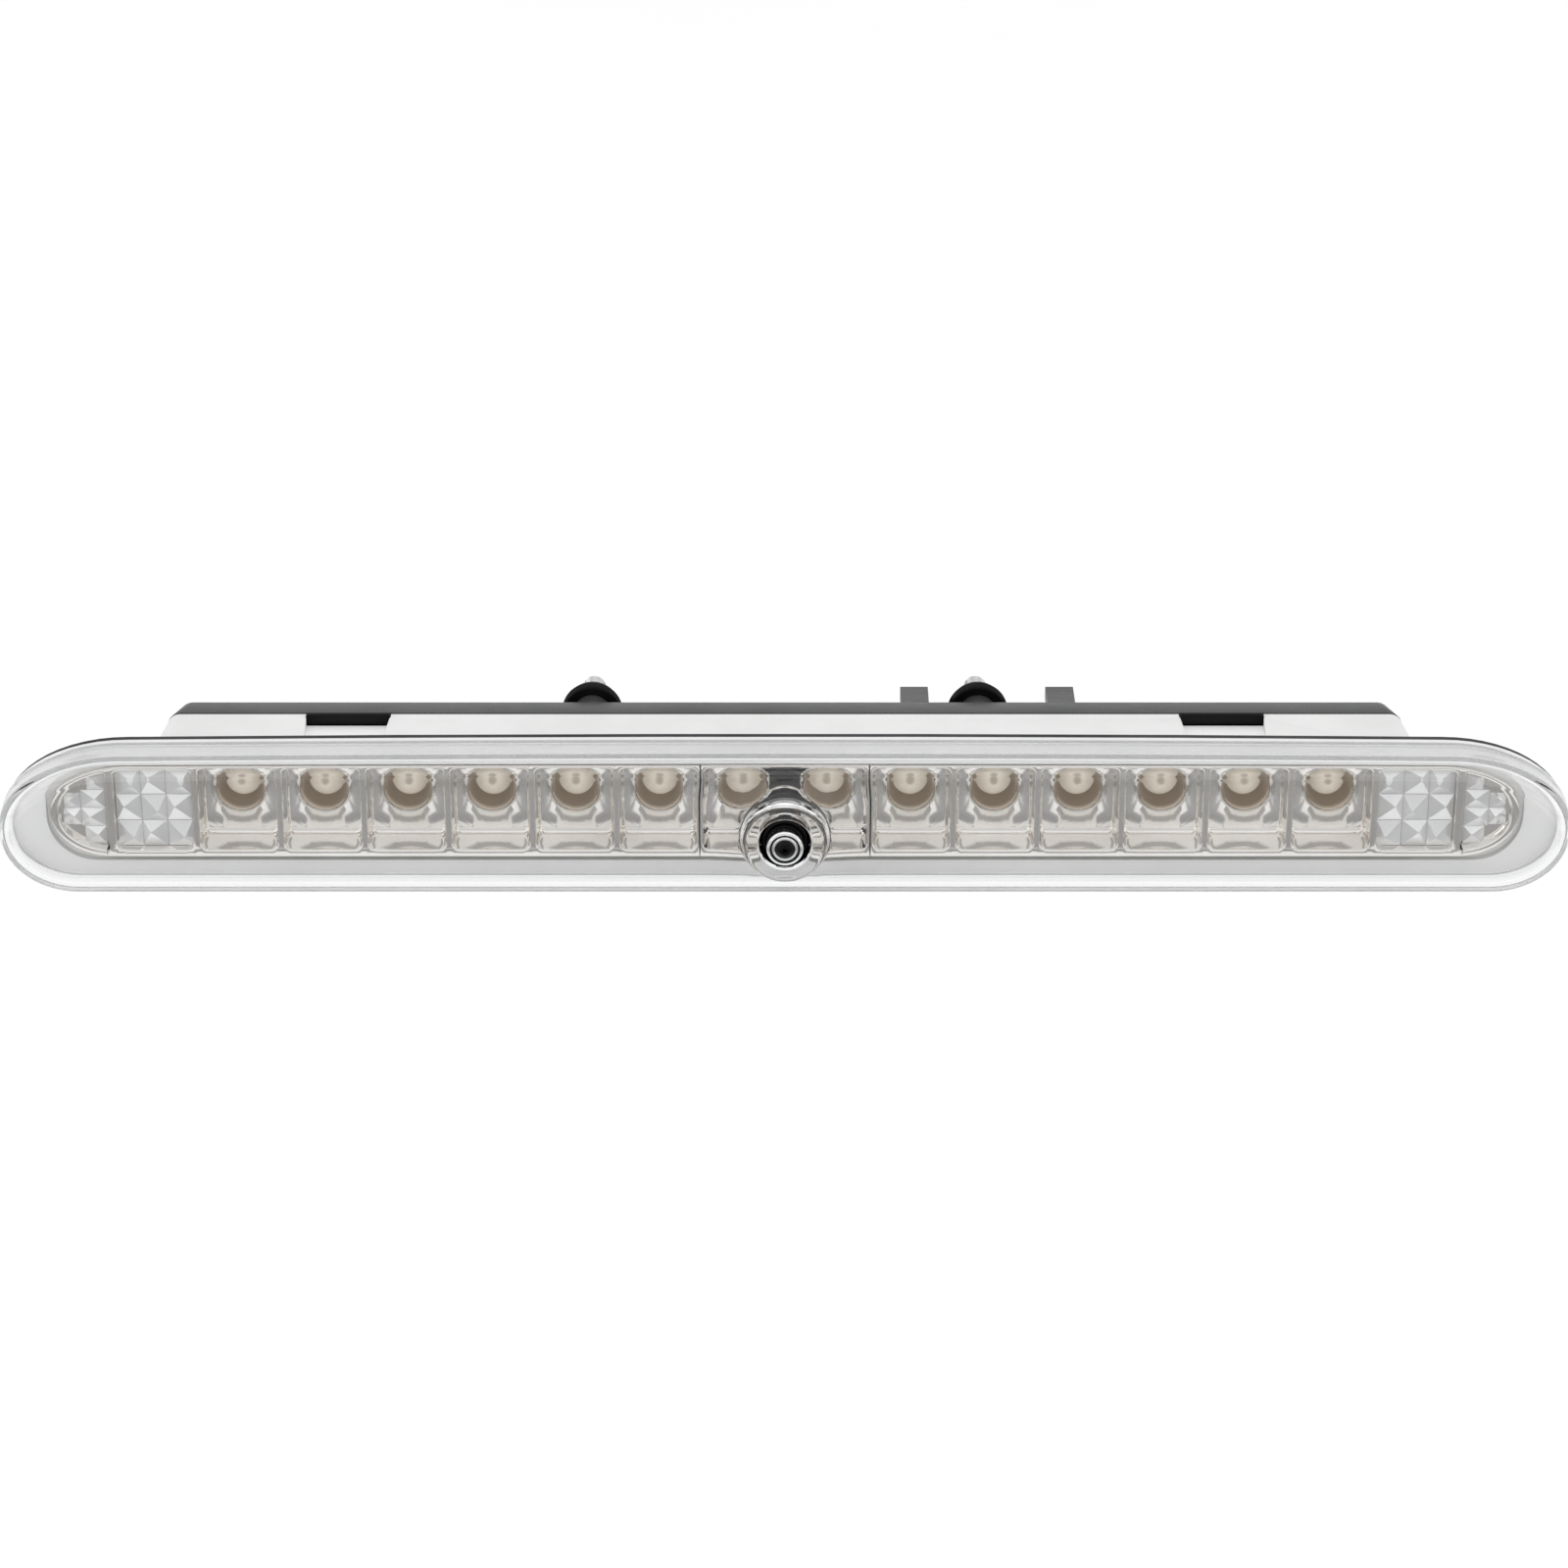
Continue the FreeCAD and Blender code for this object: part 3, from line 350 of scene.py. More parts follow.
# ------------------------------------------------------------------ mesh tools
class Build:
    def __init__(self):
        self.bm = bmesh.new()

    def loop(self, pts):
        return [self.bm.verts.new(p) for p in pts]

    def dot(self, x, y, z):
        return self.bm.verts.new((x, y, z))

    def bridge(self, a, b):
        n = len(a)
        for i in range(n):
            j = (i + 1) % n
            self.bm.faces.new((a[i], a[j], b[j], b[i]))

    def strip(self, a, b):
        for i in range(len(a) - 1):
            self.bm.faces.new((a[i], a[i + 1], b[i + 1], b[i]))

    def rings(self, rows):
        loops = [self.loop(r) for r in rows]
        for a, b in zip(loops, loops[1:]):
            self.bridge(a, b)
        return loops

    def cap(self, ring):
        self.bm.faces.new(ring)

    def fill(self, *loops):
        edges = []
        for lp in loops:
            for i in range(len(lp)):
                a, b = lp[i], lp[(i + 1) % len(lp)]
                e = self.bm.edges.get((a, b)) or self.bm.edges.new((a, b))
                edges.append(e)
        bmesh.ops.triangle_fill(self.bm, use_beauty=True, use_dissolve=False, edges=edges)

    def done(self, name, mat, body="lamp", slot=None, angle=32, replaces=(), merge=1e-4, recalc=True):
        """Everything is drawn in millimetres and moved into the row's metres here."""
        bm = self.bm
        if merge:
            bmesh.ops.remove_doubles(bm, verts=bm.verts, dist=merge)
        bmesh.ops.dissolve_degenerate(bm, dist=1e-5, edges=bm.edges)
        if recalc:
            bmesh.ops.recalc_face_normals(bm, faces=bm.faces)
        bmesh.ops.transform(bm, matrix=Matrix.Translation(D(0, 0, 0)) @ Matrix.Diagonal((MM, MM, MM, 1)), verts=bm.verts)
        me = bpy.data.meshes.new(name)
        bm.to_mesh(me)
        bm.free()
        me.shade_smooth()
        me.set_sharp_from_angle(angle=math.radians(angle))
        ob = bpy.data.objects.new(name, me)
        bpy.context.scene.collection.objects.link(ob)
        me.materials.append(mat)
        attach(ob, body)
        if replaces:
            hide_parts(*replaces)
        return ob


def oval(y, nose, top, top_end, bottom, nose_z, a1, a2, n=(72, 22, 26, 72)):
    """Outline points at depth y, counter-clockwise seen from the front: arched top, flat bottom, elliptical ends."""
    b1, b2 = top_end - nose_z, nose_z - bottom
    c1, c2 = nose - a1, nose - a2
    nb, nl, nu, nt_ = n
    pts = [(-c2 + 2 * c2 * i / nb, y, bottom) for i in range(nb)]
    pts += [(c2 + a2 * math.sin(t), y, nose_z - b2 * math.cos(t)) for t in (math.pi / 2 * i / nl for i in range(nl))]
    pts += [(c1 + a1 * math.cos(t), y, nose_z + b1 * math.sin(t)) for t in (math.pi / 2 * i / nu for i in range(nu))]
    pts += [(x, y, top - (top - top_end) * (x / c1) ** 2) for x in (c1 - 2 * c1 * i / nt_ for i in range(nt_))]
    pts += [(-c1 - a1 * math.sin(t), y, nose_z + b1 * math.cos(t)) for t in (math.pi / 2 * i / nu for i in range(nu))]
    pts += [(-c2 - a2 * math.cos(t), y, nose_z - b2 * math.sin(t)) for t in (math.pi / 2 * i / nl for i in range(nl))]
    return pts


def lens_ring(y, d):
    return oval(y, 169.7 - d, 16.9 - d, 16.2 - d, -16.7 + d, -2.0, 28.0 - d, 17.0 - d)


def circle(r, y, x=0.0, z=0.0, n=96, phase=0.0):
    return [(x + r * math.cos(phase + 2 * math.pi * i / n), y, z + r * math.sin(phase + 2 * math.pi * i / n)) for i in range(n)]


def rrect(hx, hz, r, y, cx=0.0, cz=0.0, n=6, side=1):
    """Rounded rectangle, counter-clockwise seen from the front, n steps a corner and side extra points a side."""
    pts = []
    corners = [(cx + hx - r, cz - hz + r, -90), (cx + hx - r, cz + hz - r, 0), (cx - hx + r, cz + hz - r, 90), (cx - hx + r, cz - hz + r, 180)]
    for k, (px, pz, a0) in enumerate(corners):
        for i in range(n + 1):
            a = math.radians(a0 + 90 * i / n)
            pts.append((px + r * math.cos(a), y, pz + r * math.sin(a)))
        qx, qz, b0 = corners[(k + 1) % 4]
        s = pts[-1]
        b = math.radians(b0)
        e = (qx + r * math.cos(b), y, qz + r * math.sin(b))
        for i in range(1, side):
            t = i / side
            pts.append((s[0] + (e[0] - s[0]) * t, y, s[2] + (e[2] - s[2]) * t))
    return pts


def arc(cr, cy, radius, a0, a1, steps):
    """Points (r, y) of a profile arc about (cr, cy), angles in degrees from the +r direction towards +y."""
    return [(cr + radius * math.cos(math.radians(a0 + (a1 - a0) * i / steps)), cy + radius * math.sin(math.radians(a0 + (a1 - a0) * i / steps))) for i in range(steps + 1)]


def turned(name, profile, mat, x=0.0, z=0.0, seg=96, closed=True, **kw):
    """A solid of revolution about an axis along Y. profile is (r, y) points; r = 0 ends become poles."""
    b = Build()
    rows = []
    for r, y in profile:
        if r < 1e-6:
            rows.append(b.dot(x, y, z))
        else:
            rows.append(b.loop(circle(r, y, x, z, seg)))
    pairs = list(zip(rows, rows[1:]))
    if closed and not (profile[0][0] < 1e-6 and profile[-1][0] < 1e-6):
        pairs.append((rows[-1], rows[0]))
    for p, q in pairs:
        if isinstance(p, list) and isinstance(q, list):
            b.bridge(p, q)
        elif isinstance(p, list):
            for i in range(seg):
                b.bm.faces.new((p[i], p[(i + 1) % seg], q))
        elif isinstance(q, list):
            for i in range(seg):
                b.bm.faces.new((p, q[(i + 1) % seg], q[i]))
    return b.done(name, mat, **kw)


def softened(node, width, mat, body=None, segments=2, limit=38, name=None, dissolve=2.0):
    """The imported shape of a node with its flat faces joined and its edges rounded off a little."""
    src = frame["nodes"][node]
    bm = bmesh.new()
    bm.from_mesh(src.data)
    bmesh.ops.remove_doubles(bm, verts=bm.verts, dist=2e-6)
    bmesh.ops.dissolve_degenerate(bm, dist=2e-6, edges=bm.edges)
    if dissolve:
        bmesh.ops.dissolve_limit(bm, angle_limit=math.radians(dissolve), verts=bm.verts, edges=bm.edges)
    me = bpy.data.meshes.new(name or node + "_body")
    bm.to_mesh(me)
    bm.free()
    ob = bpy.data.objects.new(name or node + "_body", me)
    bpy.context.scene.collection.objects.link(ob)
    me.materials.append(mat)
    mod = ob.modifiers.new("edge", "BEVEL")
    mod.width = width * MM
    mod.segments = segments
    mod.limit_method = "ANGLE"
    mod.angle_limit = math.radians(limit)
    mod.use_clamp_overlap = True
    mod.miter_outer = "MITER_ARC"
    dg = bpy.context.evaluated_depsgraph_get()
    new = bpy.data.meshes.new_from_object(ob.evaluated_get(dg))
    ob.modifiers.clear()
    ob.data = new
    new.shade_smooth()
    new.set_sharp_from_angle(angle=math.radians(40))
    if body is None:
        body = src["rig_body"]
    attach(ob, body)
    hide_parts(node)
    return ob


def keep(node, mat):
    """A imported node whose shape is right: it only gets its finish."""
    ob = frame["nodes"][node]
    ob.data.materials.clear()
    ob.data.materials.append(mat)
    for s in ob.material_slots:
        s.material = mat
    return ob


# ------------------------------------------------------------------ outer lens
def build_lens():
    b = Build()
    mid, inset = -9.5, 4.8
    steps = 12

    def profile(radius, foot_shift=0.0):
        side = inset - radius
        rows = [(-4.1, side - 0.3 + foot_shift), (-4.6, side - 0.27), (-6.7, side - 0.15), (mid, side)]
        for i in range(1, steps + 1):
            t = math.pi / 2 * i / steps
            rows.append((mid - radius * math.sin(t), inset - radius * math.cos(t)))
        return rows

    outer = b.rings([lens_ring(y, d) for y, d in profile(4.5)])
    inner = b.rings([lens_ring(y, d) for y, d in profile(2.4)])
    b.bridge(outer[0], inner[0])
    cr = 9.4
    side = [(cr + 0.72, -14.0), (cr + 0.42, -14.1), (cr + 0.2, -14.35), (cr + 0.1, -14.8), (cr, -15.4), (cr - 0.08, -16.2)]
    side += arc(cr - 1.5, -16.6, 1.4, 0, -90, 7)[0:]
    side += [(6.5, -18.0)] + arc(6.1, -17.6, 0.4, -90, -180, 5) + [(5.6, -17.2), (5.6, -15.4), (5.6, -13.8), (5.6, -12.3)] + arc(5.9, -12.2, 0.3, 180, 90, 3)
    rows = []
    for r, y in side:
        rows.append(circle(r, y, 0, JET_Z, 128))
    loops = b.rings(rows)
    b.fill(outer[-1], loops[0])
    b.fill(inner[-1], loops[-1])
    ob = b.done("outer_lens_shell", M["lens"], slot="clear_lens", angle=50, replaces=["outer_lens"])
    # the collar's bore is painted black, so it shows dark where the black jet head lies behind the clear collar instead
    # of a bright reflection
    ob.data.materials.append(M["mask"])
    mid_jet = D(0, 0, JET_Z)
    front_y, back_y = D(0, -17.3, 0).y, D(0, -13.7, 0).y
    for f in ob.data.polygons:
        c = f.center
        if front_y < c.y < back_y and math.hypot(c.x - mid_jet.x, c.z - mid_jet.z) < 5.75 * MM:
            f.material_index = 1
    return ob


# ------------------------------------------------------------------ chrome reflectors
RZ_TOP, RZ_BOT = 11.4, -10.5


def rim_half(side, x_in, y, d, n_end=30):
    """A side reflector's outline, from its inner end round the rounded outer end, as a closed loop."""
    nose, a1, a2, nose_z = 158.8 - d, 17.5 - d, 13.0 - d, -0.2
    top, bottom = 11.3 - d, RZ_BOT + d
    c1, c2 = nose - a1, nose - a2
    xi = x_in + d
    k = 40
    pts = [(xi + (c2 - xi) * i / k, y, bottom) for i in range(k)]
    pts += [(c2 + a2 * math.sin(t), y, nose_z - (nose_z - bottom) * math.cos(t)) for t in (math.pi / 2 * i / n_end for i in range(n_end))]
    pts += [(c1 + a1 * math.cos(t), y, nose_z + (top - nose_z) * math.sin(t)) for t in (math.pi / 2 * i / n_end for i in range(n_end))]
    pts += [(c1 + (xi - c1) * i / k, y, top) for i in range(k + 1)]
    pts += [(xi, y, top + (bottom - top) * i / 8) for i in range(1, 8)]
    if side < 0:
        pts = [(-x, yy, z) for x, yy, z in reversed(pts)]
    return pts


def cell_rows(hx, fx, cx, lip=0.28):
    """Rings of a cell from its rounded brim to its floor: brim roll, sloping walls, a soft corner at the floor."""
    hz, fz = 9.6, 7.9
    kx, kz, ky = hx - 0.35, hz - 0.4, 1.1
    rows = []
    for t in (0, 30, 60, 90):
        a = math.radians(t)
        rows.append((hx + lip * (1 - math.sin(a)), hz + lip * (1 - math.sin(a)), 1.75, RIM_Y + lip * (1 - math.cos(a))))
    for t in (0.33, 0.66):
        rows.append((hx + (kx - hx) * t, hz + (kz - hz) * t, 1.7, RIM_Y + lip + (ky - RIM_Y - lip) * t))
    for t in (0, 15, 30, 45, 60, 75, 90):
        a = math.radians(t)
        rows.append((fx + (kx - fx) * math.cos(a), fz + (kz - fz) * math.cos(a), 1.6 - 0.3 * t / 90, ky + (FLOOR_Y - ky) * math.sin(a)))
    return [rrect(a, c, r, y, cx, CELL_Z, n=8, side=6) for a, c, r, y in rows]


def bowl_rows(cx, n=72):
    """Rings of a cell's round bowl: a raised lip, then the deep bowl down to the LED's hole."""
    prof = [(6.0, FLOOR_Y), (5.8, FLOOR_Y - 0.1), (5.62, FLOOR_Y - 0.5), (5.48, FLOOR_Y - 0.66), (5.28, FLOOR_Y - 0.66), (5.12, FLOOR_Y - 0.45), (5.06, FLOOR_Y)]
    prof += [(5.04, 3.9), (4.98, 4.9), (4.88, 5.9), (4.76, 6.8), (4.62, 7.6), (4.45, 8.4), (4.32, 8.9), (4.3, 9.9)]
    return [circle(r, y, cx, LED_Z, n) for r, y in prof]


def mirrored(ob, name):
    """The same piece for the other end of the lamp."""
    me = ob.data.copy()
    me.name = name
    me.transform(Matrix.Diagonal((-1, 1, 1, 1)))
    me.flip_normals()
    twin = bpy.data.objects.new(name, me)
    bpy.context.scene.collection.objects.link(twin)
    return twin


def walled(b, thick, name, mat, **kw):
    """An open front surface with its wall laid behind it."""
    ob = b.done(name, mat, **kw)
    me = ob.data
    facing = sum(f.normal.y * f.area for f in me.polygons)
    if facing > 0:
        me.flip_normals()
    mod = ob.modifiers.new("wall", "SOLIDIFY")
    mod.thickness = thick * MM
    mod.offset = -1.0
    mod.use_rim = True
    new = bpy.data.meshes.new_from_object(ob.evaluated_get(bpy.context.evaluated_depsgraph_get()))
    ob.modifiers.clear()
    ob.data = new
    new.shade_smooth()
    new.set_sharp_from_angle(angle=math.radians(kw.get("angle", 38)))
    return ob


def build_side(side):
    b = Build()
    name = "left" if side < 0 else "right"
    xin = 18.3
    outer_rows = [rim_half(side, xin, RIM_Y, 0.25), rim_half(side, xin, RIM_Y + 0.08, 0.08), rim_half(side, xin, RIM_Y + 0.3, 0.0), rim_half(side, xin, -3.3, 0.0), rim_half(side, xin, -1.95, 0.0)]
    outer = b.rings(outer_rows)
    brims = []
    for i in range(6):
        cx = side * (1.5 + i) * PITCH
        loops = b.rings(cell_rows(8.42, 7.6, cx))
        brims.append(loops[0])
        bowl = b.rings(bowl_rows(cx))
        b.fill(loops[-1], bowl[0])
    # crystal-cut dummy cells: the brims and the steep walls down to the facets
    cx = side * 7.5 * PITCH
    rows = [(8.75, 9.75, 2.2, RIM_Y), (8.6, 9.6, 2.1, RIM_Y + 0.06), (8.5, 9.5, 2.0, RIM_Y + 0.25), (8.4, 9.4, 1.9, -2.75), (8.3, 9.3, 1.8, -2.62)]
    loops = b.rings([rrect(a, c, r, y, cx, CELL_Z - 0.2, n=8, side=6) for a, c, r, y in rows])
    brims.append(loops[0])
    flat = [loops[-1]]

    def tail(y, d):
        nose, a1, a2, nose_z = 157.3 - d, 15.5 - d, 11.0 - d, -0.2
        top, bottom, xi = 9.75 - d, -8.75 + d, 146.6 + d
        c1, c2 = nose - a1, nose - a2
        pts = [(xi + (max(c2, xi + 0.01) - xi) * i / 4, y, bottom) for i in range(4)]
        pts += [(c2 + a2 * math.sin(t), y, nose_z - (nose_z - bottom) * math.cos(t)) for t in (math.pi / 2 * i / 20 for i in range(21))]
        pts += [(c1 + a1 * math.cos(t), y, nose_z + (top - nose_z) * math.sin(t)) for t in (math.pi / 2 * i / 26 for i in range(1, 27)) if c1 + a1 * math.cos(t) > xi + 0.2]
        last = pts[-1]
        pts += [(xi, y, last[2] - (last[2] - bottom) * i / 10) for i in range(0, 10)]
        if side < 0:
            pts = [(-x, yy, z) for x, yy, z in reversed(pts)]
        return pts
    tl = b.rings([tail(RIM_Y, -0.15), tail(RIM_Y + 0.06, 0.0), tail(RIM_Y + 0.25, 0.1), tail(-2.75, 0.25), tail(-2.62, 0.35)])
    brims.append(tl[0])
    flat.append(tl[-1])
    b.fill(outer[0], *brims)
    for f in flat:
        b.cap(f)
    ob = walled(b, 0.55, "reflector_" + name + "_shell", M["chrome"], slot="chrome_reflector", angle=38, replaces=["reflector_" + name])
    twin = mirrored(ob, "reflector_left_shell")
    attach(twin, "lamp")
    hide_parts("reflector_left")
    return ob


def facet_field(side):
    """Crystal-cut pyramids on the floors of the two dummy cells at one end."""
    b = Build()
    base, peak = -2.64, -4.05

    def pyramid(x0, x1, z0, z1, px=0.0, pz=0.0, h=None):
        top = (base + (peak - base) * (h or 1.0))
        mx, mz = (x0 + x1) / 2 + px, (z0 + z1) / 2 + pz
        g = 0.12
        lo = [(x0, z0), (x1, z0), (x1, z1), (x0, z1)]
        lo = [(x + (mx - x) * 0.02, z + (mz - z) * 0.02) for x, z in lo]
        base_v = [b.dot(side * x, base, z) for x, z in lo]
        top_v = [b.dot(side * (mx + (x - mx) * 0.06), top, mz + (z - mz) * 0.06) for x, z in lo]
        for i in range(4):
            j = (i + 1) % 4
            b.bm.faces.new((base_v[i], base_v[j], top_v[j], top_v[i]))
        b.bm.faces.new(top_v)
        b.bm.faces.new(list(reversed(base_v)))
    cx, cz = 7.5 * PITCH, CELL_Z - 0.2
    nx, nz = 3, 3
    for i in range(nx):
        for k in range(nz):
            w, h = 16.4 / nx, 18.4 / nz
            x0, z0 = cx - 8.2 + i * w, cz - 9.2 + k * h
            off = 0.9 if (i + k) % 2 else -0.9
            pyramid(x0, x0 + w, z0, z0 + h, off, 0.7 * off)
    for k, (xa, xb, za, zb) in enumerate([(147.1, 151.8, -8.0, -3.9), (147.1, 152.4, -3.9, 0.4), (147.1, 152.4, 0.4, 4.7), (147.1, 150.9, 4.7, 8.4), (152.4, 156.2, -3.6, 0.4), (152.4, 156.0, 0.4, 4.0)]):
        pyramid(xa, xb, za, zb, 0.6 if k % 2 else -0.6, 0.5, 0.95)
    b.done("crystal_facets_" + ("left" if side < 0 else "right"), M["crystal"], slot="chrome_reflector", angle=12)


def build_centre():
    b = Build()
    y_in = 18.1

    def edge(y, d):
        hx = y_in - d
        top, bottom = 11.4 - d, RZ_BOT + d
        k = 24
        pts = [(-hx + 2 * hx * i / k, y, bottom) for i in range(k)]
        pts += [(hx, y, bottom + (top - bottom) * i / 10) for i in range(10)]
        pts += [(hx - 2 * hx * i / k, y, top) for i in range(k)]
        pts += [(-hx, y, top - (top - bottom) * i / 10) for i in range(10)]
        return pts
    outer = b.rings([edge(RIM_Y, 0.2), edge(RIM_Y + 0.06, 0.06), edge(RIM_Y + 0.25, 0.0), edge(-1.95, 0.0)])
    loops = b.rings(cell_rows(17.45, 16.5, 0.0))
    b.fill(outer[0], loops[0])
    inner = []
    for cx in (-0.5 * PITCH, 0.5 * PITCH):
        bowl = b.rings(bowl_rows(cx))
        inner.append(bowl[0])
    neck = b.rings([circle(q, w, 0, JET_Z, 64) for q, w in ((4.25, FLOOR_Y), (4.22, FLOOR_Y - 0.3), (4.1, FLOOR_Y - 0.5), (3.9, FLOOR_Y - 0.56), (3.72, FLOOR_Y - 0.45), (3.62, FLOOR_Y - 0.2), (3.6, FLOOR_Y + 1.0))])
    b.fill(loops[-1], neck[0], *inner)
    return walled(b, 0.55, "reflector_centre_shell", M["chrome"], slot="chrome_reflector", angle=38, replaces=["reflector_centre"])


# ------------------------------------------------------------------ LEDs
def lathe_into(b, prof, x, z, seg):
    """Adds one body of revolution to a mesh that holds several."""
    rows = [b.dot(x, y, z) if r < 1e-6 else b.loop(circle(r, y, x, z, seg)) for r, y in prof]
    for p, q in zip(rows, rows[1:]):
        if isinstance(p, list) and isinstance(q, list):
            b.bridge(p, q)
        elif isinstance(p, list):
            for i in range(seg):
                b.bm.faces.new((p[i], p[(i + 1) % seg], q))
        else:
            for i in range(seg):
                b.bm.faces.new((p, q[(i + 1) % seg], q[i]))


def build_leds():
    tip, rad, base = 5.0, 4.0, 12.6
    prof = [(0.0, tip)]
    for i in range(1, 17):
        t = math.pi / 2 * i / 16
        prof.append((rad * math.sin(t), tip + rad - rad * math.cos(t)))
    prof += [(rad, 10.3), (rad, base - 1.1), (rad + 0.05, base - 1.0), (rad + 0.5, base - 1.0), (rad + 0.6, base - 0.9), (rad + 0.6, base - 0.1), (rad + 0.5, base), (0.0, base)]
    b = Build()
    for x in LED_X:
        lathe_into(b, prof, x, LED_Z, 56)
    b.done("led_bodies", M["epoxy"], slot="led_epoxy", angle=40, replaces=["leds"])
    cup = [(0.0, 9.6), (0.45, 9.6), (0.85, 8.95), (1.0, 8.9), (1.15, 8.95), (1.15, 10.4), (0.7, 10.6), (0.0, 10.6)]
    b = Build()
    for x in LED_X:
        lathe_into(b, cup, x, LED_Z, 32)
    b.done("led_lead_cups", M["tin"], slot="tinned_steel", angle=30)
    b = Build()
    for x in LED_X:
        lathe_into(b, [(0.0, 9.25), (0.32, 9.25), (0.34, 9.58), (0.0, 9.58)], x, LED_Z, 24)
    b.done("led_dies", M["chip"], slot="chip_black", angle=30)


# ------------------------------------------------------------------ washer jet
def build_jet():
    cy = -18.9
    prof = [(3.3, -12.2), (4.25, -12.2), (4.4, -12.3), (5.2, -12.75), (5.3, -12.9), (5.3, -13.05), (5.22, -13.1), (4.5, -13.1), (4.5, -14.1), (5.22, -14.1), (5.3, -14.2), (5.3, -15.3)]
    prof += arc(4.5, -15.3, 0.8, 0, -90, 8)
    prof += [(4.25, -16.1), (4.1, -16.0), (4.0, -15.85), (4.0, -15.45), (3.9, -15.4), (3.3, -15.4)]
    turned("washer_jet_head", prof, M["gloss_black"], z=JET_Z, seg=128, slot="black_nylon", replaces=["nozzle_head"])
    turned("washer_jet_o_ring", [(5.05 + 0.5 * math.cos(math.radians(a)), -13.6 + 0.5 * math.sin(math.radians(a))) for a in range(0, 360, 20)], M["rubber"], z=JET_Z, slot="rubber", angle=60, replaces=["nozzle_o_ring"])
    ring = [(2.0, -14.7), (3.15, -14.7), (3.25, -14.8), (3.25, -15.9), (3.85, -15.9), (3.95, -16.0), (3.95, -19.6)]
    ring += arc(3.33, -19.78, 0.62, 0, -90, 10)
    ring += [(3.28, -20.37), (3.25, -20.3), (3.25, -19.7), (2.85, -19.7), (2.85, -20.0), (2.8, -20.2), (2.68, -20.32), (2.5, -20.35), (2.3, -20.3), (2.2, -20.22)]
    a0, a1 = math.asin(2.18 / 2.56), math.pi - math.asin(2.0 / 2.56)
    for i in range(0, 13):
        t = a0 + (a1 - a0) * i / 12
        ring.append((2.56 * math.sin(t), cy - 2.56 * math.cos(t)))
    turned("aim_ring_turned", ring, M["ring"], body="aim_ring", z=JET_Z, seg=128, slot="satin_ring", replaces=["aim_ring"])
    # painted shade: a thin black disc on the groove's floor darkens the groove
    turned("aim_ring_groove_painted_shade", [(2.86, -19.78), (3.24, -19.78), (3.24, -19.71), (2.86, -19.71)], M["gloss_black"], body="aim_ring", z=JET_Z, seg=96, slot="black_nylon")
    a0 = math.asin(0.9 / 2.5)
    ball = [(0.9, cy - 2.22), (0.95, cy - 2.3)]
    for i in range(1, 37):
        t = a0 + 0.05 + (math.pi - 2 * a0 - 0.05) * i / 36
        ball.append((2.5 * math.sin(t), cy - 2.5 * math.cos(t)))
    turned("jet_ball_turned", ball, M["gloss_black"], body="jet", z=JET_Z, seg=80, slot="black_nylon", replaces=["jet_ball"])
    ins = [(0.45, cy - 2.05), (0.52, cy - 2.18), (0.8, cy - 2.2), (0.9, cy - 2.12), (0.9, cy + 2.2), (0.45, cy + 2.2)]
    turned("jet_insert_turned", ins, M["gloss_black"], body="jet", z=JET_Z, seg=48, slot="satin_ring", replaces=["jet_insert"])
    tube = [(1.5, -14.4), (3.2, -14.4), (3.3, -14.3), (3.3, 2.4), (3.3, 24.4), (4.9, 24.4), (5.0, 24.5), (5.0, 25.8), (4.9, 25.9), (3.3, 25.9), (3.3, 33.9), (3.1, 34.1), (1.5, 34.1)]
    turned("jet_tube", tube, M["gloss_black"], z=JET_Z, seg=72, slot="black_nylon", replaces=["nozzle_tube"])


# ------------------------------------------------------------------ studs, seals
def threaded(b, x, z, r, y0, y1, pitch=0.8, seg=40, per=10):
    depth = 0.61 * pitch
    rows = []
    n = int(round((y1 - y0) / pitch * per))
    for k in range(n + 1):
        y = y0 + (y1 - y0) * k / n
        pts = []
        fade = min(1.0, (y - y0) / (0.9 * pitch), max(0.0, (y1 - y) / (1.2 * pitch)) + 0.0)
        for i in range(seg):
            a = 2 * math.pi * i / seg
            ph = ((y - y0) / pitch - i / seg) % 1.0
            tri = abs(ph - 0.5) * 2            # 1 at crest edges, 0 at root
            tri = min(1.0, max(0.0, (tri - 0.12) / 0.76))
            rad = r - depth * (1 - tri) * max(0.0, fade)
            tip = max(0.0, (y - (y1 - 0.9)) / 0.9)
            rad = min(rad, r - 0.75 * tip)
            pts.append((x + rad * math.cos(a), y, z + rad * math.sin(a)))
        rows.append(pts)
    return rows


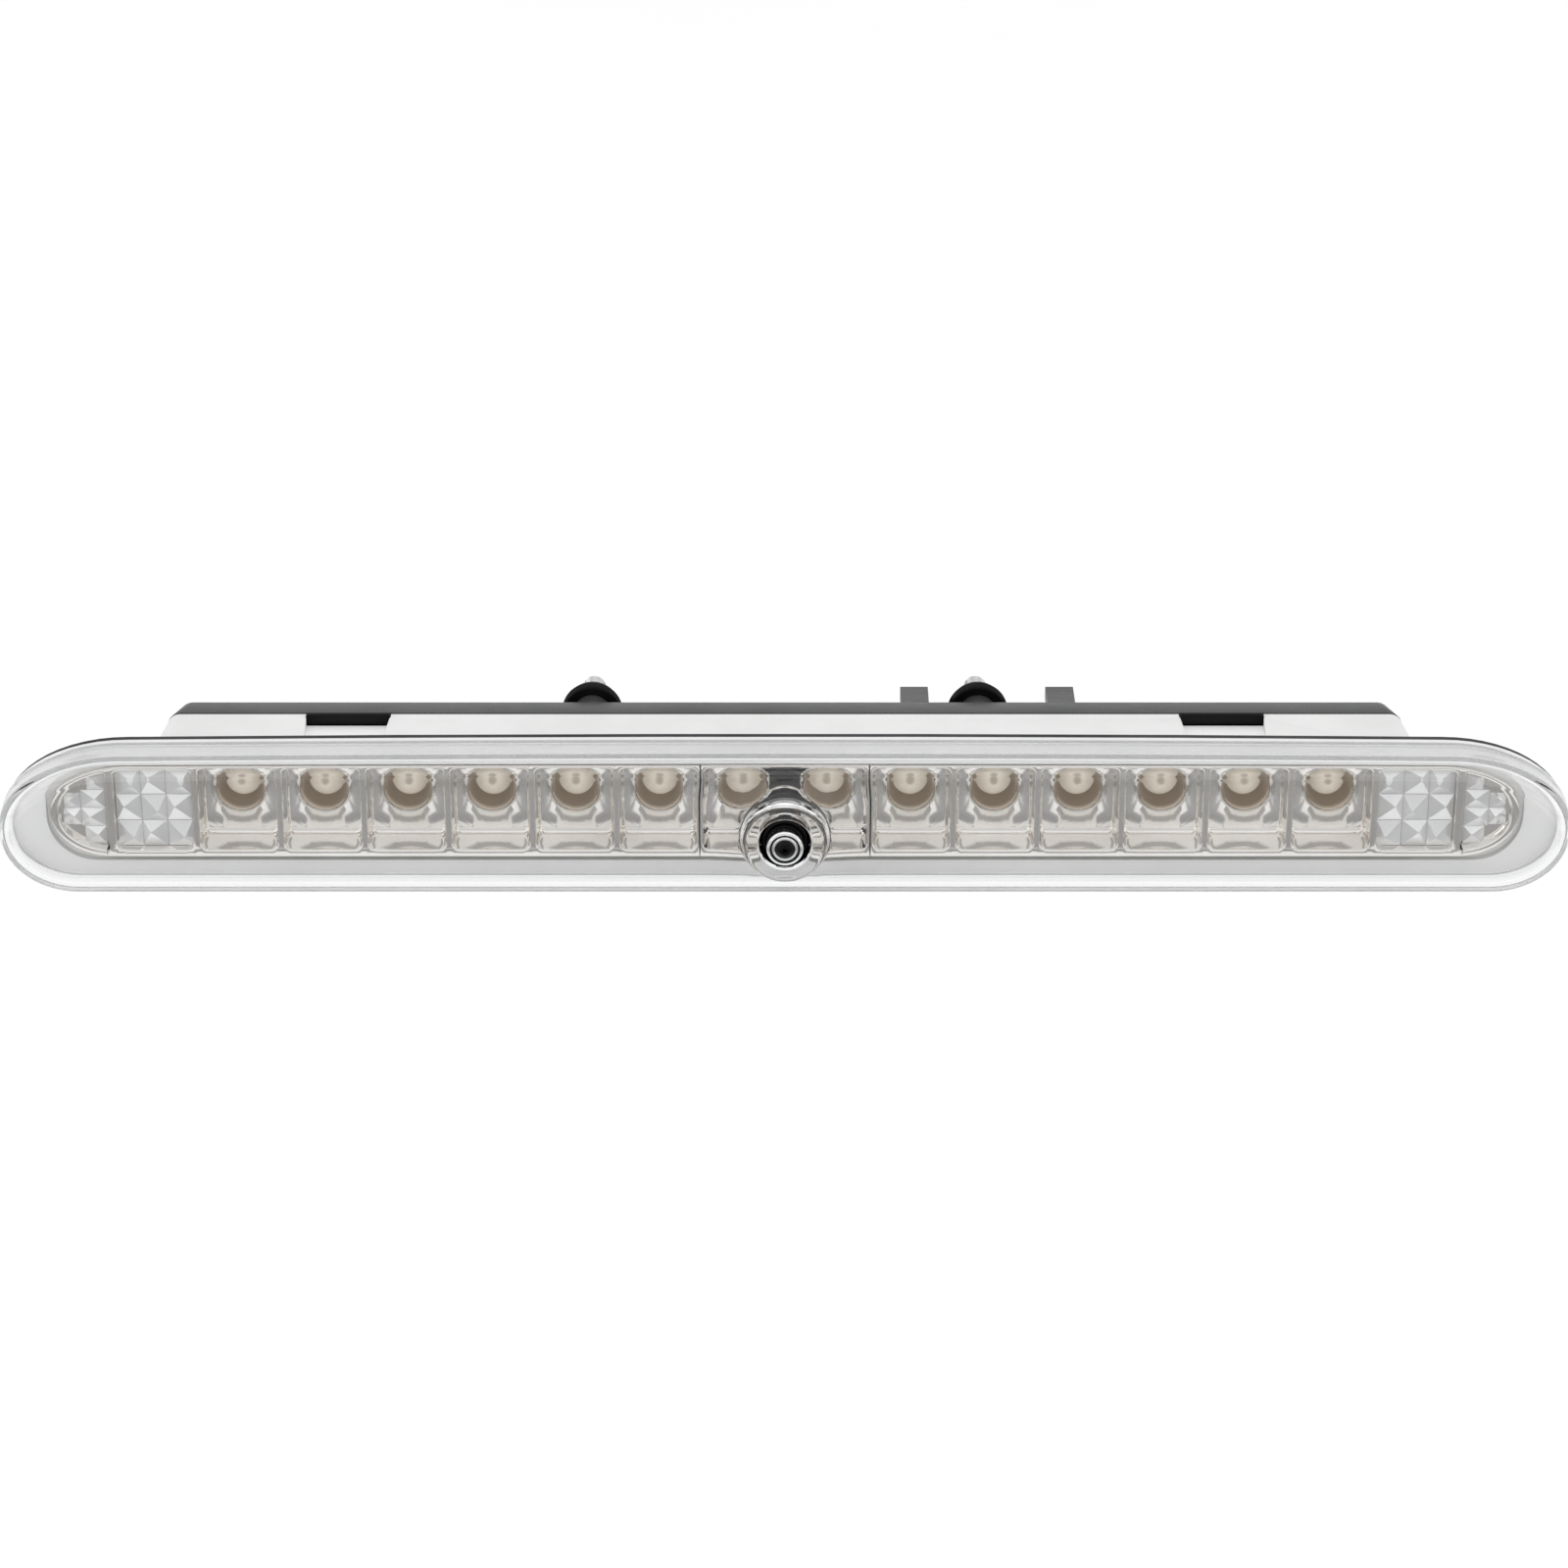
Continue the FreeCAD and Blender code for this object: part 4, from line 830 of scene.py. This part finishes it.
def build_studs():
    b = Build()
    for s in (-1, 1):
        x = s * STUD_X
        e = STUD_END - 10.9
        base = [(0.01, 22.1), (4.0, 22.1), (4.2, 22.3), (4.2, 23.9), (4.1, 24.1), (2.9, 24.1), (2.9, e - 0.4), (2.75, e - 0.15), (2.5, e + 0.05)]
        rows = [circle(r, y, x, STUD_Z, 40) for r, y in base]
        rows += threaded(b, x, STUD_Z, 2.5, e + 0.1, STUD_END - 0.05)
        rows.append(circle(1.55, STUD_END, x, STUD_Z, 40))
        loops = b.rings(rows)
        b.cap(loops[-1])
        b.cap(list(reversed(loops[0])))
    b.done("threaded_studs", M["steel"], slot="zinc_steel", angle=30, replaces=["mounting_studs"])
    for s, side in ((-1, "left"), (1, "right")):
        y = SEAL_Y
        p = [(2.9, y), (5.5, y), (6.1, y + 0.1), (6.45, y + 0.35)]
        p += arc(6.27, y + 1.2, 0.48, -60, 60, 8)
        p += [(6.0, y + 1.95), (5.4, y + 2.15), (5.2, y + 2.4), (5.3, y + 2.65)]
        p += arc(5.55, y + 3.35, 0.45, -60, 60, 8)
        p += [(5.5, y + 4.05), (5.2, y + 4.4), (4.95, y + 4.6), (3.3, y + 4.7), (2.9, y + 4.68)]
        turned("stud_seal_" + side + "_ring", p, M["rubber"], x=s * STUD_X, z=STUD_Z, seg=96, slot="rubber", angle=50, replaces=["stud_seal_" + side])


# ------------------------------------------------------------------ put it together
build_lens()
build_side(1)
for sd in (-1, 1):
    facet_field(sd)
build_centre()
build_leds()
build_jet()
build_studs()

keep("lens_seal", M["bead"])
keep("flange_gasket", M["foam"])
keep("cover_seal", M["rubber"])
keep("led_board", M["board"])
keep("led_leads", M["tin"])
keep("resistors", M["chip"])
keep("rectifier_diode", M["chip"])
keep("terminal_pins", M["tin"])
keep("valve_seat", M["rubber"])
keep("valve_poppet", M["white"])
keep("valve_spring", M["steel"])
keep("board_screws", M["steel"])
case = softened("housing", 0.3, M["white"], dissolve=None)
case.data.materials.append(M["tray"])      # painted light: the rim and the ledge behind the clear lens, made lighter than the rest of the case
ledge = (D(0, -3.75, 0).y, D(0, -0.9, 0).y)
for f in case.data.polygons:
    if ledge[0] < f.center.y < ledge[1] and f.normal.y < -0.7:
        f.material_index = 1
pocket = (D(0, 0, 10.2).z, D(0, 0, 11.4).z)      # floors of the two pockets for the snap hooks, painted lighter where they lie in shade
for f in case.data.polygons:
    if pocket[0] < f.center.z < pocket[1] and f.normal.z > 0.7 and abs(abs(f.center.x) - 96.0 * MM) < 9.6 * MM:
        f.material_index = 1
softened("back_cover", 0.4, M["grey"], dissolve=None)
softened("snap_hook_left", 0.2, M["black"])
softened("snap_hook_right", 0.2, M["black"])
softened("connector_shell", 0.25, M["black"])
softened("vent_cap", 0.15, M["black"])
softened("nozzle_nut", 0.25, M["black"])
softened("nozzle_washer", 0.12, M["rubber"])
softened("hose_spigot", 0.15, M["black"])
softened("cover_screws", 0.12, M["steel"])


# ------------------------------------------------------------------ stage, light, camera
low_z = cad_low.z
floor_mat, nt, p = new_mat("pale_floor")
fv = coords(nt)
nt.links.new(ramp(nt, noise(nt, fv, 3, 3), [(0.3, (0.93, 0.93, 0.93)), (0.7, (0.95, 0.95, 0.95))]), p.inputs["Base Color"])
p.inputs["Emission Color"].default_value = (1, 1, 1, 1)
p.inputs["Emission Strength"].default_value = 0.13
nt.links.new(remap(nt, noise(nt, fv, 40, 3), 0.6, 0.75), p.inputs["Roughness"])
fl = bpy.data.meshes.new("floor")
fl.from_pydata([(-3, -3, low_z - 0.3), (3, -3, low_z - 0.3), (3, 3, low_z - 0.3), (-3, 3, low_z - 0.3)], [], [(0, 1, 2, 3)])
floor = bpy.data.objects.new("floor", fl)
bpy.context.scene.collection.objects.link(floor)
fl.materials.append(floor_mat)
floor.visible_glossy = False
floor.visible_transmission = False

world = bpy.data.worlds.new("studio")
bpy.context.scene.world = world
world.use_nodes = True
wn = world.node_tree
bg = wn.nodes["Background"]
tc = wn.nodes.new("ShaderNodeTexCoord")
sep = wn.nodes.new("ShaderNodeSeparateXYZ")
wn.links.new(tc.outputs["Generated"], sep.inputs[0])


def wmap(sock, a, b, lo, hi):
    r = wn.nodes.new("ShaderNodeMapRange")
    r.interpolation_type = "LINEAR"
    for k, v in (("From Min", a), ("From Max", b), ("To Min", lo), ("To Max", hi)):
        r.inputs[k].default_value = v
    wn.links.new(sock, r.inputs["Value"])
    return r.outputs["Result"]


# in front of the lamp: a bright sweep below, two darker strips where its flat faces look, bright cards between, a
# thin dark edge at the horizon and a large soft light overhead
bands = wn.nodes.new("ShaderNodeValToRGB")
bands.color_ramp.interpolation = "EASE"
stops = [(-1.0, 1.0), (-0.62, 1.0), (-0.5, 0.4), (-0.36, 0.32), (-0.28, 1.0), (-0.1, 1.0), (-0.06, 0.14), (-0.02, 0.14), (0.02, 1.0), (0.28, 0.95), (0.37, 0.5), (0.5, 0.5), (0.6, 0.95), (1.0, 0.95)]
el = bands.color_ramp.elements
for i, (z, v) in enumerate(stops):
    e = el[i] if i < 2 else el.new((z + 1) / 2)
    e.position = (z + 1) / 2
    e.color = (v, v, v, 1)
wn.links.new(wmap(sep.outputs["Z"], -1.0, 1.0, 0.0, 1.0), bands.inputs["Fac"])
behind = wmap(sep.outputs["Y"], -0.25, 0.1, 0.0, 1.0)
grey = wn.nodes.new("ShaderNodeMix")
grey.data_type = "RGBA"
wn.links.new(behind, grey.inputs["Factor"])
wn.links.new(bands.outputs["Color"], grey.inputs["A"])
grey.inputs["B"].default_value = (0.96, 0.96, 0.96, 1)
lp = wn.nodes.new("ShaderNodeLightPath")
mixc = wn.nodes.new("ShaderNodeMix")
mixc.data_type = "RGBA"
wn.links.new(lp.outputs["Is Camera Ray"], mixc.inputs["Factor"])
wn.links.new(grey.outputs["Result"], mixc.inputs["A"])
mixc.inputs["B"].default_value = (1.0, 1.0, 1.0, 1)
wn.links.new(mixc.outputs["Result"], bg.inputs["Color"])
bg.inputs["Strength"].default_value = 1.0


def softbox(name, loc, target, sx, sy, watts, spread=180):
    li = bpy.data.lights.new(name, "AREA")
    li.shape = "RECTANGLE"
    li.size, li.size_y = sx, sy
    li.energy = watts
    li.spread = math.radians(spread)
    ob = bpy.data.objects.new(name, li)
    bpy.context.scene.collection.objects.link(ob)
    ob.location = loc
    d = Vector(target) - Vector(loc)
    ob.rotation_euler = d.to_track_quat("-Z", "Y").to_euler()
    return ob


mid = D(0, 0, 0)
softbox("overhead", (0.0, mid.y - 0.15, mid.z + 0.9), mid, 1.1, 0.5, 0.55)
softbox("left_strip", (-0.75, mid.y - 0.35, mid.z + 0.45), mid, 0.25, 0.7, 0.7)
softbox("right_strip", (0.8, mid.y - 0.25, mid.z + 0.4), mid, 0.25, 0.7, 0.6)

ELEV = math.radians(25.0)
DIST = 0.95
target = D(-0.2, -2.0, 0.0) + Vector((0, math.sin(ELEV), math.cos(ELEV))) * (23 * 0.2125 * MM)
cam_data = bpy.data.cameras.new("camera")
cam = bpy.data.objects.new("camera", cam_data)
bpy.context.scene.collection.objects.link(cam)
cam.location = target + DIST * Vector((0, -math.cos(ELEV), math.sin(ELEV)))
cam.rotation_euler = (math.pi / 2 - ELEV, 0, 0)
cam_data.sensor_width = 36
cam_data.lens = 36 * DIST / (1600 * 0.2125 * MM)
cam_data.clip_start = 0.01
cam_data.clip_end = 20
bpy.context.scene.camera = cam

sc = bpy.context.scene
sc.view_settings.view_transform = "Standard"
sc.view_settings.look = "None"
sc.view_settings.exposure = 0.0
sc.cycles.max_bounces = 16
sc.cycles.glossy_bounces = 8
sc.cycles.transmission_bounces = 12
sc.cycles.transparent_max_bounces = 12
sc.cycles.use_denoising = True
